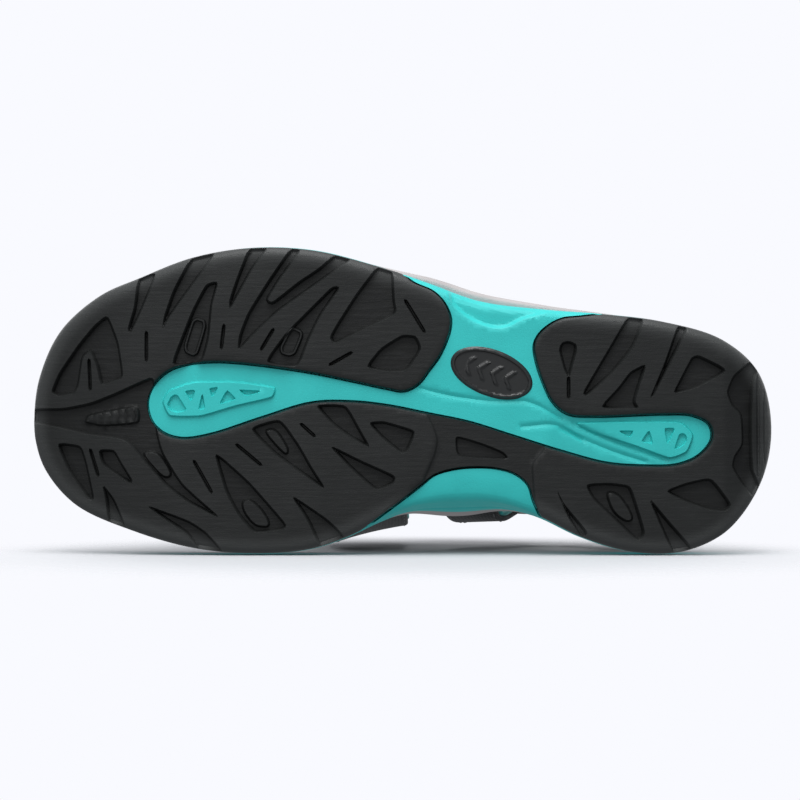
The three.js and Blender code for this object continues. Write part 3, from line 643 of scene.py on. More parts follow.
# a line beside an open one
def beside(run, distance):
    ahead = np.gradient(run, axis=0)
    ahead /= np.maximum(np.linalg.norm(ahead, axis=1, keepdims=True), 1e-9)
    moved = run + np.stack([-ahead[:, 1], ahead[:, 0]], axis=1) * distance
    right = isAt(distanceTo(run, moved, closed=False), abs(distance))
    return [(moved, False)] if right.all() else brokenRuns(moved, right)


def roundedEdge(distance, radius):
    share = np.clip(1 - distance / radius, 0, 1)
    return radius * (1 - np.sqrt(np.maximum(0, 1 - share**2)))


treadPockets = [Pocket(points, sole["treadDepth"]) for points in pockets.values()]
treadSlits = [Pocket(strip(*ends, 1.2), sole["slitDepth"], wall=0.45, lip=0.15) for ends in narrowSlits]
treadSlits += [Pocket(strip(*ends, 1.3), 0.8, wall=0.5, lip=0.2) for ends in heelRidges]
islands = [Pocket(points, 1.5, wall=0.7, bite=0.22) for points in lozenges]
frames = [Pocket(points, 1.6, wall=0.45, lip=0.15) for points in framedLozenges]
lug = Pocket(toeLug, 1.6, wall=0.7)
lowBridgePocket = Pocket(lowBridge, 0.9, wall=0.8)


def treadRelief(at):
    sunk = np.zeros(len(at))
    for pocket in treadPockets + treadSlits:
        sunk = np.maximum(sunk, pocket.share(at) * pocket.depth)
    for island in islands:
        sunk -= island.share(at) * np.minimum(sunk, island.depth)
    for lozenge in frames:
        hollow = smoothstep(depthInside(lozenge.loop, at), 0.9, 1.4)
        sunk -= lozenge.share(at) * np.minimum(sunk, lozenge.depth) * (1 - 0.75 * hollow)
    ribs = 0.5 + 0.5 * np.cos(at[:, 0] / soleLength * drawnLength * 2 * math.pi / 3.1)
    sunk -= lug.share(at) * np.minimum(sunk, lug.depth) * (0.55 + 0.45 * smoothstep(ribs, 0.2, 0.6))
    return np.maximum(sunk, lowBridgePocket.share(at) * lowBridgePocket.depth)


def makeOutsole(material):
    def isKept(at):
        return (depthInside(outline, at) > 1e-3) & (depthInOpening(at) < -1e-3)

    def lower(at):
        shoulder = roundedEdge(np.maximum(depthInside(outline, at), 0), sole["shoulder"])
        lip = roundedEdge(np.maximum(-depthInOpening(at), 0), 0.9)
        nearEdge = smoothstep(depthInside(outline, at), 0.2, 1.2)
        relief = treadRelief(at) * (0.35 + 0.65 * nearEdge)
        relief += shoulder * 0.5 * (relief > 0.3)
        return ground(at[:, 0]) + np.maximum(np.maximum(shoulder, lip), relief)

    def upper(at):
        atEdge = depthInside(outline, at) < sole["wrapWall"] - 0.15
        height = np.where(atEdge & (depthInOpening(at) < -0.4), sole["wrap"], sole["outsole"])
        return ground(at[:, 0]) + height

    rings = []
    for distance in (0.3, 0.8, 1.5, 2.4, 3.4, sole["wrapWall"], sole["wrapWall"] - 0.2):
        rings.append((inset(outline, distance), True))
    for run, loop in ((channel, channelLoop), (arch, archLoop)):
        rings.append((run, False))
        for distance in (0.35, 0.9):
            outside = inset(loop, -distance)
            rings += brokenRuns(outside, isAt(-depthInOpening(outside), distance))
    for pocket in treadPockets + treadSlits + islands + frames + [lug, lowBridgePocket]:
        rings += pocket.rings()
    for lozenge in frames:
        rings += [(inset(lozenge.loop, distance), True) for distance in (0.9, 1.4)]
    made = mouldedPlate("Outsole", outline, rings, lower, upper, isKept, material, spacing=1.5)
    plan = planOf(made)
    # sunk: the tread's depth at each point; the rubber paints shade into its pockets with it
    addAttribute(made, "sunk", treadRelief(plan) / sole["treadDepth"])
    # rim: 1 at the tread's outer edge, fading inwards; the rubber paints a highlight on its shoulder with it
    addAttribute(made, "rim", 1 - smoothstep(depthInside(outline, plan), 1, 7))
    return made


podPockets = [Pocket(points, 1.2, wall=0.5) for points in pods]
windowPockets = [Pocket(points, 1.4, wall=0.35, lip=0.12, bite=0.08) for points in windows]
waistPocket = Pocket(waistStep, 2.2, wall=1.4, lip=0.3, bite=0.24)
stripe = {"slope": -0.3, "pitch": 1.7, "depth": 0.16}
creaseRuns = [curveThrough(scaled(points), 1.5, closed=False) for points in foamCreases]
archRun = curveThrough(scaled(archCrease), 1.5, closed=False)


# how far past the arch's crease a point is, towards the inner side
def archSide(at):
    crease = archRun[np.argsort(archRun[:, 0])]
    return np.interp(at[:, 0], crease[:, 0], crease[:, 1]) - at[:, 1]


# how far the foam's underside lies above the tread face inside the openings
def foamRecess(at):
    high = np.full(len(at), sole["recess"] + 0.8)
    high -= 0.9 * smoothstep(np.minimum(at[:, 0] - along(-56), along(40) - at[:, 0]), -4, 4)
    for pod in podPockets:
        high -= pod.share(at) * pod.depth
    for window in windowPockets:
        high += window.share(at) * window.depth
    for run in creaseRuns:
        high += 0.7 * (1 - smoothstep(distanceTo(run, at, closed=False), 0, 1.4))
    high += waistPocket.share(at) * waistPocket.depth
    stripes = 0.5 + 0.5 * np.cos((at[:, 1] + stripe["slope"] * at[:, 0]) * 2 * math.pi / stripe["pitch"])
    high += waistPocket.share(at) * stripe["depth"] * stripes
    inArch = depthInside(archLoop, at) > 0
    past = archSide(at)
    slope = 0.9 * smoothstep(past, -9, 0) + 0.55 * np.maximum(past, 0)
    return high + np.where(inArch, slope, 0)


def makeMidsole(material):
    wrap = sole["wrapWall"] + sole["gap"]

    def isKept(at):
        return depthInside(outline, at) > 1e-3

    def lower(at):
        opened = smoothstep(depthInOpening(at), sole["gap"], sole["gap"] + 0.5)
        underWrap = depthInside(outline, at) < wrap - 0.07
        covered = np.where(underWrap, sole["wrap"], sole["outsole"]) + sole["gap"]
        shoulder = roundedEdge(np.maximum(depthInside(outline, at), 0), 3.2)
        recess = foamRecess(at) + shoulder
        return ground(at[:, 0]) + covered + (recess - covered) * opened

    def upper(at):
        return foamTop(at[:, 0])

    rings = [(inset(outline, wrap), True), (inset(outline, wrap - 0.15), True)]
    for distance in (0.5, 1.2):
        ring = inset(outline, distance)
        rings += brokenRuns(ring, depthInOpening(ring) > sole["gap"])
    for distance in (sole["gap"], sole["gap"] + 0.5):
        for loop in (channelLoop, archLoop):
            ring = inset(loop, distance)
            isShown = isAt(depthInOpening(ring), distance) & (depthInside(outline, ring) > 0.02)
            rings += brokenRuns(ring, isShown)
    for pocket in podPockets + windowPockets + [waistPocket]:
        rings += pocket.rings()
    for run in creaseRuns + [archRun]:
        rings.append((run, False))
        for distance in (-1.4, -0.8, 0.8, 1.4):
            rings += beside(run, distance)
    xs = np.arange(along(-64), along(-14), 1.2)
    for crest in stripe["pitch"] / 2 * np.arange(22, 80):
        line = np.column_stack([xs, crest - stripe["slope"] * xs])
        isStriped = (depthInside(waistPocket.loop, line) > 0.4) & (depthInside(outline, line) > 0.3)
        rings += brokenRuns(line, isStriped)
    # two thin grooves run round the foam's side
    wall = [(0.06, 0.0), (0.16, 0.35), (0.4, 0.5), (0.44, 0.05), (0.5, 0.05), (0.54, 0.5), (0.9, 0.35)]
    return mouldedPlate("Midsole", outline, rings, lower, upper, isKept, material, spacing=1.5, wall=wall,
                        outerLean=0.12)


# the straps, in millimetres
straps = {
    "thickness": 2.0,
    "lining": 1.5,
    "pad": 4.0,
    "patch": 1.0,
    "forefoot": 30.0,
    "quarter": 20.0,
    "post": 18.0,
    "ankle": 24.0,
    "collar": 24.0,
    "loop": 11.0,
    "tab": 20.0,
    "rise": 54.0,  # of the forefoot strap over the footbed's rim
    "squareness": 0.8,
    "slotInset": 5.0,
    "slotDepth": 5.5,
    "gap": 0.3,
    "ankleAngle": 35,  # the way that the ankle strap leaves its rings, in degrees
    "ankleDepth": 39.0,
    "collarAngle": 160,
    "collarDepth": 47.0,
}
forefootRun, riserRun = 180, 100  # millimetres that a share of 1 past a path's end stands for
# the two round ankle rings, then the square forefoot ring
ringSizes = {
    "radius": 13.0,
    "wire": 4.0,
    "station": -58,  # along the sole
    "rise": 43.0,  # over the footbed's tray
    "spread": 33.0,  # to either side of the sole's middle
    "bar": 3.0,
    "pitch": 12.0,  # between the bars that the straps loop on
    "corner": 2.2,
    "share": 0.3,  # how far along the strap the square ring sits
}


def rimHeight(x):
    return float(trayFloor(x) + sole["rim"])


def rimNormal(x, side):
    reach = along(8)
    slope = (rimEdge(x + reach, side) - rimEdge(x - reach, side)) / (2 * reach)
    return unit(np.array([-slope * side, side, 0.0]))


def unit(vector):
    return vector / max(np.linalg.norm(vector), 1e-9)


def blendBetween(first, last, share):
    return first + (last - first) * share


# paths take a share of their run, 0 to 1, and give a point and the way that the strap faces there
def forefootPath(t):
    inside = min(max(t, 0), 1)
    angle = math.pi * t
    x = blendBetween(along(17), along(11), inside)
    outer = float(rimEdge(x, 1)) - straps["slotInset"]
    inner = float(rimEdge(x, -1)) + straps["slotInset"]
    half = (outer - inner) / 2
    side = 1 if math.cos(math.pi * inside) >= 0 else -1
    swell = 4.0 if side > 0 else 15.0
    rise = max(0, math.sin(angle)) ** straps["squareness"] if 0 < t < 1 else 0
    spread = abs(math.cos(angle)) ** straps["squareness"] if 0 < t < 1 else 1
    swing = max(0, math.sin(2 * angle) * side) if 0 < t < 1 else 0
    y = (outer + inner) / 2 + side * (half * spread + swell * swing)
    z = rimHeight(x) + straps["rise"] * rise - max(0, -t, t - 1) * forefootRun
    outward = rimNormal(x, side) * abs(math.cos(math.pi * inside))
    outward[0] *= abs(math.cos(math.pi * inside)) ** 6
    outward[2] = math.sin(math.pi * inside)
    return np.array([x, y, z]), outward


def ringCentre(side):
    x = along(ringSizes["station"])
    y = float(middle(x)) + side * ringSizes["spread"]
    return np.array([x, y, float(trayFloor(x)) + ringSizes["rise"]])


def turnedReach(angle):
    return np.array([math.cos(math.radians(angle)), 0, math.sin(math.radians(angle))])


def wirePoint(side, angle):
    return ringCentre(side) + turnedReach(angle) * ringSizes["radius"]


def risingPath(station, side, angle, lean):
    x = along(station)
    foot = np.array([x, float(rimEdge(x, side)) - side * straps["slotInset"], rimHeight(x)])
    end = wirePoint(side, angle)
    away = turnedReach(angle)
    rise = end[2] - foot[2]
    first = foot + np.array([0, side * lean, rise * 0.5])
    second = end + away * rise * 0.4
    down = unit(first - foot)

    def path(t):
        inside = min(max(t, 0), 1)
        outward = blendBetween(rimNormal(x, side), np.array([0, side, 0.0]), inside)
        if t < 0:
            return foot + down * t * riserRun, outward
        if t > 1:
            return end + away * (1 - t) * riserRun, outward
        s = 1 - t
        return foot * s**3 + first * 3 * s * s * t + second * 3 * s * t * t + end * t**3, outward

    return path


def archPath(angle, depth):
    reach = turnedReach(angle)
    start, end = wirePoint(1, angle), wirePoint(-1, angle)
    centre = (start + end) / 2
    spread = start[1] - centre[1]

    def path(t):
        swing = math.pi * min(max(t, 0), 1)
        over = max(0, -t, t - 1) * riserRun
        point = centre + reach * (depth * math.sin(swing) - over)
        point[1] += spread * math.cos(swing)
        return point, np.array([0, math.cos(swing), 0]) + reach * math.sin(swing)

    return path


# a path sampled closely: points, outward normals and widthways directions, by length from its start
class Track:
    def __init__(self, path, low, high, count=150):
        shares = np.linspace(low, high, count)
        self.points = np.array([path(t)[0] for t in shares])
        runs = np.gradient(self.points, axis=0)
        runs /= np.linalg.norm(runs, axis=1, keepdims=True)
        normals = np.array([path(t)[1] for t in shares])
        normals -= (normals * runs).sum(1, keepdims=True) * runs
        self.runs = runs
        self.normals = normals / np.linalg.norm(normals, axis=1, keepdims=True)
        self.lengths = np.r_[0, np.cumsum(np.linalg.norm(np.diff(self.points, axis=0), axis=1))]
        self.shares = shares
        self.total = self.lengths[-1]

    def at(self, length):
        def pick(table):
            return np.array([np.interp(length, self.lengths, table[:, axis]) for axis in range(3)])

        normal = unit(pick(self.normals))
        run = unit(pick(self.runs))
        beyond = min(length, 0) + max(length - self.total, 0)
        return pick(self.points) + run * beyond, run, normal

    def lengthAt(self, share):
        return float(np.interp(share, self.shares, self.lengths))

    # the strap solids have 18 segments along their runs, and the patches end on them
    def segment(self, number):
        return self.lengthAt(number / 18)

    def shareAt(self, length):
        return float(np.interp(length, self.lengths, self.shares))


# one sample of a ribbon: where it is, its face's direction, its widthways direction, width and thickness
def layerSamples(track, start, end, width, lift, thickness, step=1.6):
    count = max(3, int(abs(end - start) / step))
    found = []
    for length in np.linspace(start, end, count + 1):
        point, run, normal = track.at(length)
        wide = width(length) if callable(width) else width
        high = lift(length) if callable(lift) else lift
        thick = thickness(length) if callable(thickness) else thickness
        found.append((point + normal * high, normal, np.cross(normal, run), wide, thick))
    return found


# a strap end that turns round a wire at one end of its track: under it, or over it and back under
def turnedEnd(track, atStart, radius, width, thickness, fromAngle, toAngle):
    point, run, normal = track.at(0.0 if atStart else track.total)
    away = -run if atStart else run
    across = np.cross(normal, run)
    count = max(4, int(abs(toAngle - fromAngle) / 15))
    found = []
    for angle in np.linspace(math.radians(fromAngle), math.radians(toAngle), count + 1):
        face = normal * math.sin(angle) + away * math.cos(angle)
        found.append((point + face * radius, face, across, width, thickness))
    return found


# a soft-edged ribbon through samples, closed at both ends
def ribbonMesh(name, samples, material, edge=0.45, body="sandal", nodes=()):
    profile = np.array([-1, -0.985, -0.94, -0.8, -0.55, -0.28, 0, 0.28, 0.55, 0.8, 0.94, 0.985, 1])
    half = [0.0 if abs(u) == 1 else min(1, edge + (1 - abs(u)) / 0.06 * (1 - edge)) for u in profile]
    above = list(zip(profile, half))
    ring = above + [(u, -h) for u, h in above[-2:0:-1]]
    vertices, faces, lengths, sideways = [], [], [], []
    travelled = 0.0
    size = len(ring)
    last = samples[0][0]
    for row, (point, normal, across, width, thickness) in enumerate(samples):
        travelled += np.linalg.norm(point - last)
        last = point
        for u, h in ring:
            vertices.append(point + across * u * width / 2 + normal * h * thickness / 2)
            lengths.append(travelled)
            sideways.append(u * width / 2)
        if row:
            for i in range(size):
                a, b = (row - 1) * size + i, (row - 1) * size + (i + 1) % size
                faces.append([a, b, b + size, a + size])
    for first, flip in ((0, False), ((len(samples) - 1) * size, True)):
        for i in range(len(profile) - 1):
            cap = [first + i, first + i + 1, first + (size - i - 1) % size, first + (size - i) % size]
            cap = list(dict.fromkeys(cap))
            if len(cap) > 2:
                faces.append(cap if flip else cap[::-1])
    made = newPiece(name, np.array(vertices) * mm, faces, material, 50)
    facedOut(made)
    addAttribute(made, "lengthwise", lengths)
    addAttribute(made, "crosswise", sideways)
    if body:
        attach(made, body)
    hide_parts(*nodes)
    return made


# turns all faces out when the mesh was wound inwards
def facedOut(piece):
    mesh = piece.data
    mesh.calc_loop_triangles()
    corners = np.empty(len(mesh.loop_triangles) * 3, np.int32)
    mesh.loop_triangles.foreach_get("vertices", corners)
    points = np.empty(len(mesh.vertices) * 3)
    mesh.vertices.foreach_get("co", points)
    points = points.reshape(-1, 3)[corners.reshape(-1, 3)]
    volume = np.einsum("ij,ij->i", points[:, 0], np.cross(points[:, 1], points[:, 2])).sum()
    if volume < 0:
        mesh.flip_normals()


wireReach = ringSizes["wire"] / 2 + straps["gap"] + straps["thickness"] / 2
barReach = ringSizes["bar"] / 2 + straps["gap"] + straps["thickness"] / 2 + 0.25
easeLength = 12.0
legLength = 5.0


def easeTo(height, distance):
    return height * (1 - smoothstep(distance, 0, easeLength))


# the strap's whole run between its ends; each end is "foot" (buried), "under" (loops and tucks
# beneath) or "fold" (goes beneath the wire and folds back over it to become a tab)
def strapSamples(track, ends, width, reach, start=0.0, finish=None):
    finish = track.total if finish is None else finish
    heights = {"foot": 0, "under": reach, "fold": -reach}

    def lift(length):
        return easeTo(heights[ends[0]], length - start) + easeTo(heights[ends[1]], finish - length)

    wide = width if callable(width) else (lambda length: width)
    found = layerSamples(track, start, finish, wide, lift, straps["thickness"])
    first, last = wide(start), wide(finish)
    thick = straps["thickness"]
    local = Window(track, start, finish)
    for where, kind, atStart, size in ((0, ends[0], True, first), (-1, ends[1], False, last)):
        if kind == "foot":
            continue
        begin, stop = (90, -90) if kind == "under" else (-90, 75)
        turned = turnedEnd(local, atStart, reach, size, thick, begin, stop)
        if kind == "under":
            leg = legSamples(local, atStart, reach, wide)
            turned = turned + leg
        turned = turned[1:]
        found = (turned[::-1] + found) if atStart else (found + turned)
    return found


# part of a track, seen as a whole one
class Window:
    def __init__(self, track, start, finish):
        self.track, self.start, self.total = track, start, finish - start

    def at(self, length):
        return self.track.at(self.start + length)


# the end that lies back under the strap, past the wire
def legSamples(local, atStart, reach, wide):
    found = []
    for step in np.linspace(0, legLength, 5)[1:]:
        length = step if atStart else local.total - step
        point, run, normal = local.at(length)
        depth = -reach + (reach - 1.75) * smoothstep(step, 0, legLength)
        width, thickness = wide(local.start + length), straps["thickness"] * 0.9
        found.append((point + normal * depth, -normal, np.cross(normal, run), width, thickness))
    return found


# colours of the materials, the weaves' pitch in millimetres, and how many tufts to the metre
looks = {
    "rubber": {"colour": (0.0138, 0.015, 0.015), "worn": (0.0215, 0.023, 0.023),
               # the rubber's edge colour is a painted highlight for the tread's shoulder
               # the rubber's sunk colour is painted shade for the tread's pockets
               "sunk": (0.0065, 0.007, 0.007), "edge": (0.055, 0.058, 0.058)},
    "badge": {"colour": (0.016, 0.017, 0.018), "worn": (0.0138, 0.015, 0.015)},
    "foam": {"colour": (0.034, 0.58, 0.565), "deep": (0.022, 0.47, 0.46), "light": (0.06, 0.55, 0.53)},
    "greyFoam": {"colour": (0.46, 0.435, 0.435), "dark": (0.36, 0.34, 0.345), "pressed": (0.30, 0.285, 0.29)},
    "webbing": {"colour": (0.010, 0.011, 0.012), "light": (0.026, 0.027, 0.029), "pitch": 1.3},
    "tape": {"colour": (0.012, 0.22, 0.21), "light": (0.022, 0.40, 0.37), "pitch": 1.0},
    "thread": {"colour": (0.06, 0.062, 0.064), "light": (0.16, 0.163, 0.168), "pitch": 0.5},
    "lining": {"colour": (0.022, 0.40, 0.37), "deep": (0.012, 0.22, 0.21)},
    "hooks": {"colour": (0.008, 0.008, 0.009), "light": (0.03, 0.03, 0.032), "fineness": 1300},
    "loops": {"colour": (0.011, 0.011, 0.012), "light": (0.045, 0.045, 0.047), "fineness": 900},
    "plastic": {"colour": (0.014, 0.015, 0.016)},
    "nylon": {"colour": (0.045, 0.05, 0.055)},
}


def makeRubber():
    look = looks["rubber"]
    kit = Kit("rubber")
    place = kit.place()
    sunk = kit.attribute("sunk")
    patches = kit.noise(place, 34, 4).smooth(0.42, 0.68)
    grain = kit.noise(place, 2600, 2, 0.5)
    coarse = kit.noise(place, 420, 3)
    streaks = kit.noise(kit.place((70, 800, 70), (0, 0, 0.12)), 1, 3)
    specks = kit.cells(place, 900).smooth(0.0, 0.09)
    shade = kit.mix(patches * 0.6, look["colour"], look["worn"])
    # painted shade: the pockets are coloured darker by their depth
    shade = kit.mix(sunk.smooth(0.1, 0.9) * 0.75, shade, look["sunk"])
    shade = kit.mix((1 - specks) * 0.35, shade, look["worn"])
    shade = kit.mix(streaks.smooth(0.45, 0.75) * 0.5, shade, look["worn"])
    # painted highlight: lighter towards the tread's outer edge, on its shoulder
    shade = kit.mix(kit.attribute("rim") * 0.9, shade, look["edge"])
    height = grain * 0.7 + coarse + streaks * 1.4
    rough = patches * -0.06 + coarse * 0.12 + 0.48
    return kit.finish(colour=shade, rough=rough, normal=kit.bump(height, 0.09), shine=0.28)


def makeBadgeRubber():
    look = looks["badge"]
    kit = Kit("badge_rubber")
    place = kit.place()
    coarse = kit.noise(place, 700, 3)
    shade = kit.mix(coarse.smooth(0.35, 0.7), look["colour"], look["worn"])
    return kit.finish(colour=shade, rough=coarse * 0.15 + 0.3, normal=kit.bump(coarse, 0.03))


def makeFoam():
    look = looks["foam"]
    kit = Kit("teal_foam")
    place = kit.place()
    pits = kit.cells(place, 1400)
    broad = kit.noise(place, 60, 3)
    fine = kit.noise(place, 900, 2)
    shade = kit.mix(broad.smooth(0.35, 0.7) * 0.35, look["colour"], look["deep"])
    shade = kit.mix(fine.smooth(0.5, 0.8) * 0.15, shade, look["light"])
    height = pits.smooth(0, 0.5) * 0.6 + fine * 0.4
    return kit.finish(colour=shade, rough=fine * 0.15 + 0.5, normal=kit.bump(height, 0.05), shine=0.4)


def makeGreyFoam(name="grey_foam", ridged=False):
    look = looks["greyFoam"]
    kit = Kit(name)
    place = kit.place()
    pits = kit.cells(place, 1100)
    broad = kit.noise(place, 45, 3)
    fine = kit.noise(place, 1300, 2)
    shade = kit.mix(broad.smooth(0.35, 0.7) * 0.5, look["colour"], look["dark"])
    height = pits.smooth(0, 0.5) * 0.6 + fine * 0.4
    if ridged:
        # the pressed grooves are coloured darker
        worn = kit.attribute("pressed")
        shade = kit.mix(worn.smooth(0.1, 0.9) * 0.45, shade, look["pressed"])
        waves = (kit.split(place, 0) * 1500 + kit.noise(place, 30, 2) * 9).sine()
        height = height + waves * 0.9
    return kit.finish(colour=shade, rough=fine * 0.12 + 0.66, normal=kit.bump(height, 0.06), shine=0.3)


def makeWebbing(name, look):
    kit = Kit(name)
    turns = 2 * math.pi / look["pitch"]
    length = kit.attribute("lengthwise") * turns
    side = kit.attribute("crosswise") * turns
    warp = side.sine()
    weft = (length + (side * 0.5).sine() * 1.6).sine()
    weave = (warp * 0.5 + 0.5) * 0.55 + (weft * 0.5 + 0.5) * 0.45
    place = kit.place()
    fibres = kit.noise(place, 3200, 2)
    broad = kit.noise(place, 90, 2)
    shade = kit.mix(weave.smooth(0.2, 0.9), look["colour"], look["light"])
    shade = kit.mix(broad.smooth(0.4, 0.7) * 0.3, shade, look["colour"])
    height = weave + fibres * 0.35
    return kit.finish(colour=shade, rough=fibres * 0.2 + 0.68, normal=kit.bump(height, 0.16), sheen=0.12,
                      sheenRough=0.5)


def makeTealFabric():
    look = looks["lining"]
    kit = Kit("teal_lining")
    place = kit.place()
    loops = kit.cells(place, 760)
    broad = kit.noise(place, 70, 3)
    fine = kit.noise(place, 2400, 2)
    shade = kit.mix(loops.smooth(0.1, 0.8), look["colour"], look["deep"])
    shade = kit.mix(broad.smooth(0.4, 0.75) * 0.25, shade, look["deep"])
    height = 1 - loops.smooth(0.05, 0.9) + fine * 0.3
    return kit.finish(colour=shade, rough=fine * 0.15 + 0.78, normal=kit.bump(height, 0.13), sheen=0.35,
                      sheenRough=0.45)


def makePile(name, look):
    kit = Kit(name)
    place = kit.place()
    tufts = kit.cells(place, look["fineness"])
    fuzz = kit.noise(place, look["fineness"] * 3, 3)
    shade = kit.mix(tufts.smooth(0.1, 0.8), look["light"], look["colour"])
    height = fuzz * 0.5 + (1 - tufts)
    return kit.finish(colour=shade, rough=fuzz * 0.1 + 0.85, normal=kit.bump(height, 0.25), sheen=0.4)


def makePlastic(name, look):
    kit = Kit(name)
    place = kit.place()
    moulded = kit.noise(place, 1500, 2)
    broad = kit.noise(place, 120, 2)
    lighter = tuple(value * 1.7 for value in look["colour"])
    shade = kit.mix(broad.smooth(0.4, 0.7), look["colour"], lighter)
    return kit.finish(colour=shade, rough=moulded * 0.12 + 0.3, normal=kit.bump(moulded, 0.03))


rubber = makeRubber()
badgeRubber = makeBadgeRubber()
foam = makeFoam()
greyFoam = makeGreyFoam()
greyLiner = makeGreyFoam("grey_liner", ridged=True)
webbing = makeWebbing("webbing", looks["webbing"])
tape = makeWebbing("pull_tape", looks["tape"])
tealFabric = makeTealFabric()
hookPile = makePile("hook_patch", looks["hooks"])
loopPile = makePile("loop_patch", looks["loops"])
plastic = makePlastic("black_plastic", looks["plastic"])
nylon = makePlastic("nylon", looks["nylon"])
thread = makeWebbing("thread", looks["thread"])


# the mouth of the slot that a strap's foot sits in, as a plan before the waist leans out
def slotMouth(path, width, thickness):
    point, outward = path(0.0)
    side = 1 if point[1] > middle(point[0]) else -1
    ahead = np.array([outward[1], -outward[0]]) / max(np.hypot(outward[0], outward[1]), 1e-9)
    away = np.array([ahead[1], -ahead[0]])
    centre = point[:2] - [0, float(flare(point[0], side))]
    signs = ((-1, -1), (1, -1), (1, 1), (-1, 1))
    corners = [ahead * a * width / 2 + away * b * thickness / 2 for a, b in signs]
    return np.array([centre + corner for corner in corners]), float(point[2])


# each riser: kind, side, place along the sole, angle on its ring, width, and how far it leans out
risers = [
    ("quarter", 1, -27, -50, straps["quarter"], 0),
    ("quarter", -1, -26, -50, straps["quarter"], 16),
    ("heel_post", 1, -86, -119, straps["post"], 0),
    ("heel_post", -1, -88, -119, straps["post"], 0),
]
riserPaths = [risingPath(station, side, angle, lean) for _, side, station, angle, _, lean in risers]
mouthRoom = (1.2, 1.3)  # in width and in thickness
mouthThickness = straps["thickness"] + mouthRoom[1]


def flippedForefoot(t):
    return forefootPath(1 - t)


footed = [(forefootPath, straps["forefoot"]), (flippedForefoot, straps["forefoot"])]
footed += [(path, wide) for path, (_, _, _, _, wide, _) in zip(riserPaths, risers)]
mouths = [slotMouth(path, wide + mouthRoom[0], mouthThickness) for path, wide in footed]


def mouthRings(*distances):
    loops = [evenly(np.vstack([corners, corners[:1]]), 1.4) for corners, _ in mouths]
    return [(inset(loop, distance), True) for loop in loops for distance in distances]


def inMouth(at, grow):
    result = np.zeros(len(at), bool)
    for corners, _ in mouths:
        result |= depthInside(corners, at) > -grow
    return result


def makeFootbed(material):
    def isKept(at):
        return depthInside(outline, at) > 1e-3

    def lower(at):
        return foamTop(at[:, 0]) + sole["gap"] + roundedEdge(np.maximum(depthInside(outline, at), 0), 1.0)

    def upper(at):
        depth = np.maximum(depthInside(outline, at), 0)
        top = trayFloor(at[:, 0]) + sole["rim"] - roundedEdge(depth, 2.6)
        tray = smoothstep(depth, sole["rimWidth"] - 0.9, sole["rimWidth"])
        top = top - tray * sole["rim"]
        for corners, height in mouths:
            inside = depthInside(corners, at) > 0.1
            top = np.where(inside, np.minimum(top, height - straps["slotDepth"] - 0.6), top)
        return top

    rings = [(inset(outline, distance), True) for distance in (0.25, 0.7, 1.3, 2.0, 2.7, 3.1, 3.5, 4.0, 4.2)]
    rings += mouthRings(0, 0.25)
    # a groove runs round the footbed's side
    wall = [(0.07, 0.15), (0.3, 0.35), (0.36, -0.1), (0.42, 0.35), (0.75, 0.3), (0.92, 0.1)]
    return mouldedPlate("Footbed", outline, rings, lower, upper, isKept, material, spacing=4.2, wall=wall)


# how far the sockliner rises towards its edge, at the heel and at the inner waist
def heelCup(at):
    heel = 1 - smoothstep(at[:, 0], along(-110), along(-40))
    edgeShare = 1 - smoothstep(depthInside(outline, at), 5, 20)
    inner = smoothstep(at[:, 0], along(-70), along(-30)) * (1 - smoothstep(at[:, 0], along(-5), along(30)))
    side = (at[:, 1] < middle(at[:, 0])) * 1.0
    return edgeShare * (heel + inner * side * 0.8)


liner = {"firstBand": 7, "bandPitch": 5.5, "lastBand": 30, "bandDepth": 0.55, "cup": 1.3}


# grooves pressed into the sockliner: rings that follow the outline
def linerPress(at):
    depth = depthInside(outline, at)
    bands = 0.5 + 0.5 * np.cos((depth - liner["firstBand"]) * 2 * math.pi / liner["bandPitch"])
    field = smoothstep(depth, 6, 9) * (1 - smoothstep(depth, 24, liner["lastBand"]))
    return smoothstep(bands, 0.72, 0.95) * field


def makeSockliner(material):
    border = sole["rimWidth"] + sole["gap"]
    edgeLoop = inset(outline, border)

    def isKept(at):
        return (depthInside(outline, at) > border + 1e-3) & ~inMouth(at, 0.25)

    def lower(at):
        return trayFloor(at[:, 0]) + sole["gap"]

    def upper(at):
        depth = depthInside(outline, at) - border
        relief = heelCup(at) * liner["cup"] - linerPress(at) * liner["bandDepth"]
        return lower(at) + sole["sockliner"] + relief - roundedEdge(np.maximum(depth, 0), 1.0)

    rings = [(inset(outline, border + distance), True) for distance in (0.3, 0.8, 1.6)]
    rings += mouthRings(-0.3)
    for band in np.arange(liner["firstBand"], liner["lastBand"], liner["bandPitch"]):
        for distance in band + np.array([-0.98, -0.39, 0.39, 0.98]):
            ring = inset(outline, distance)
            rings += brokenRuns(ring, isAt(depthInside(outline, ring), distance))
    made = mouldedPlate("Sockliner", edgeLoop, rings, lower, upper, isKept, material, spacing=1.9)
    addAttribute(made, "pressed", linerPress(planOf(made)))
    return made


badge = {"centre": (-33, 10), "length": 31.6, "width": 17.2, "turn": 20, "rim": 0.55, "mark": 0.5}


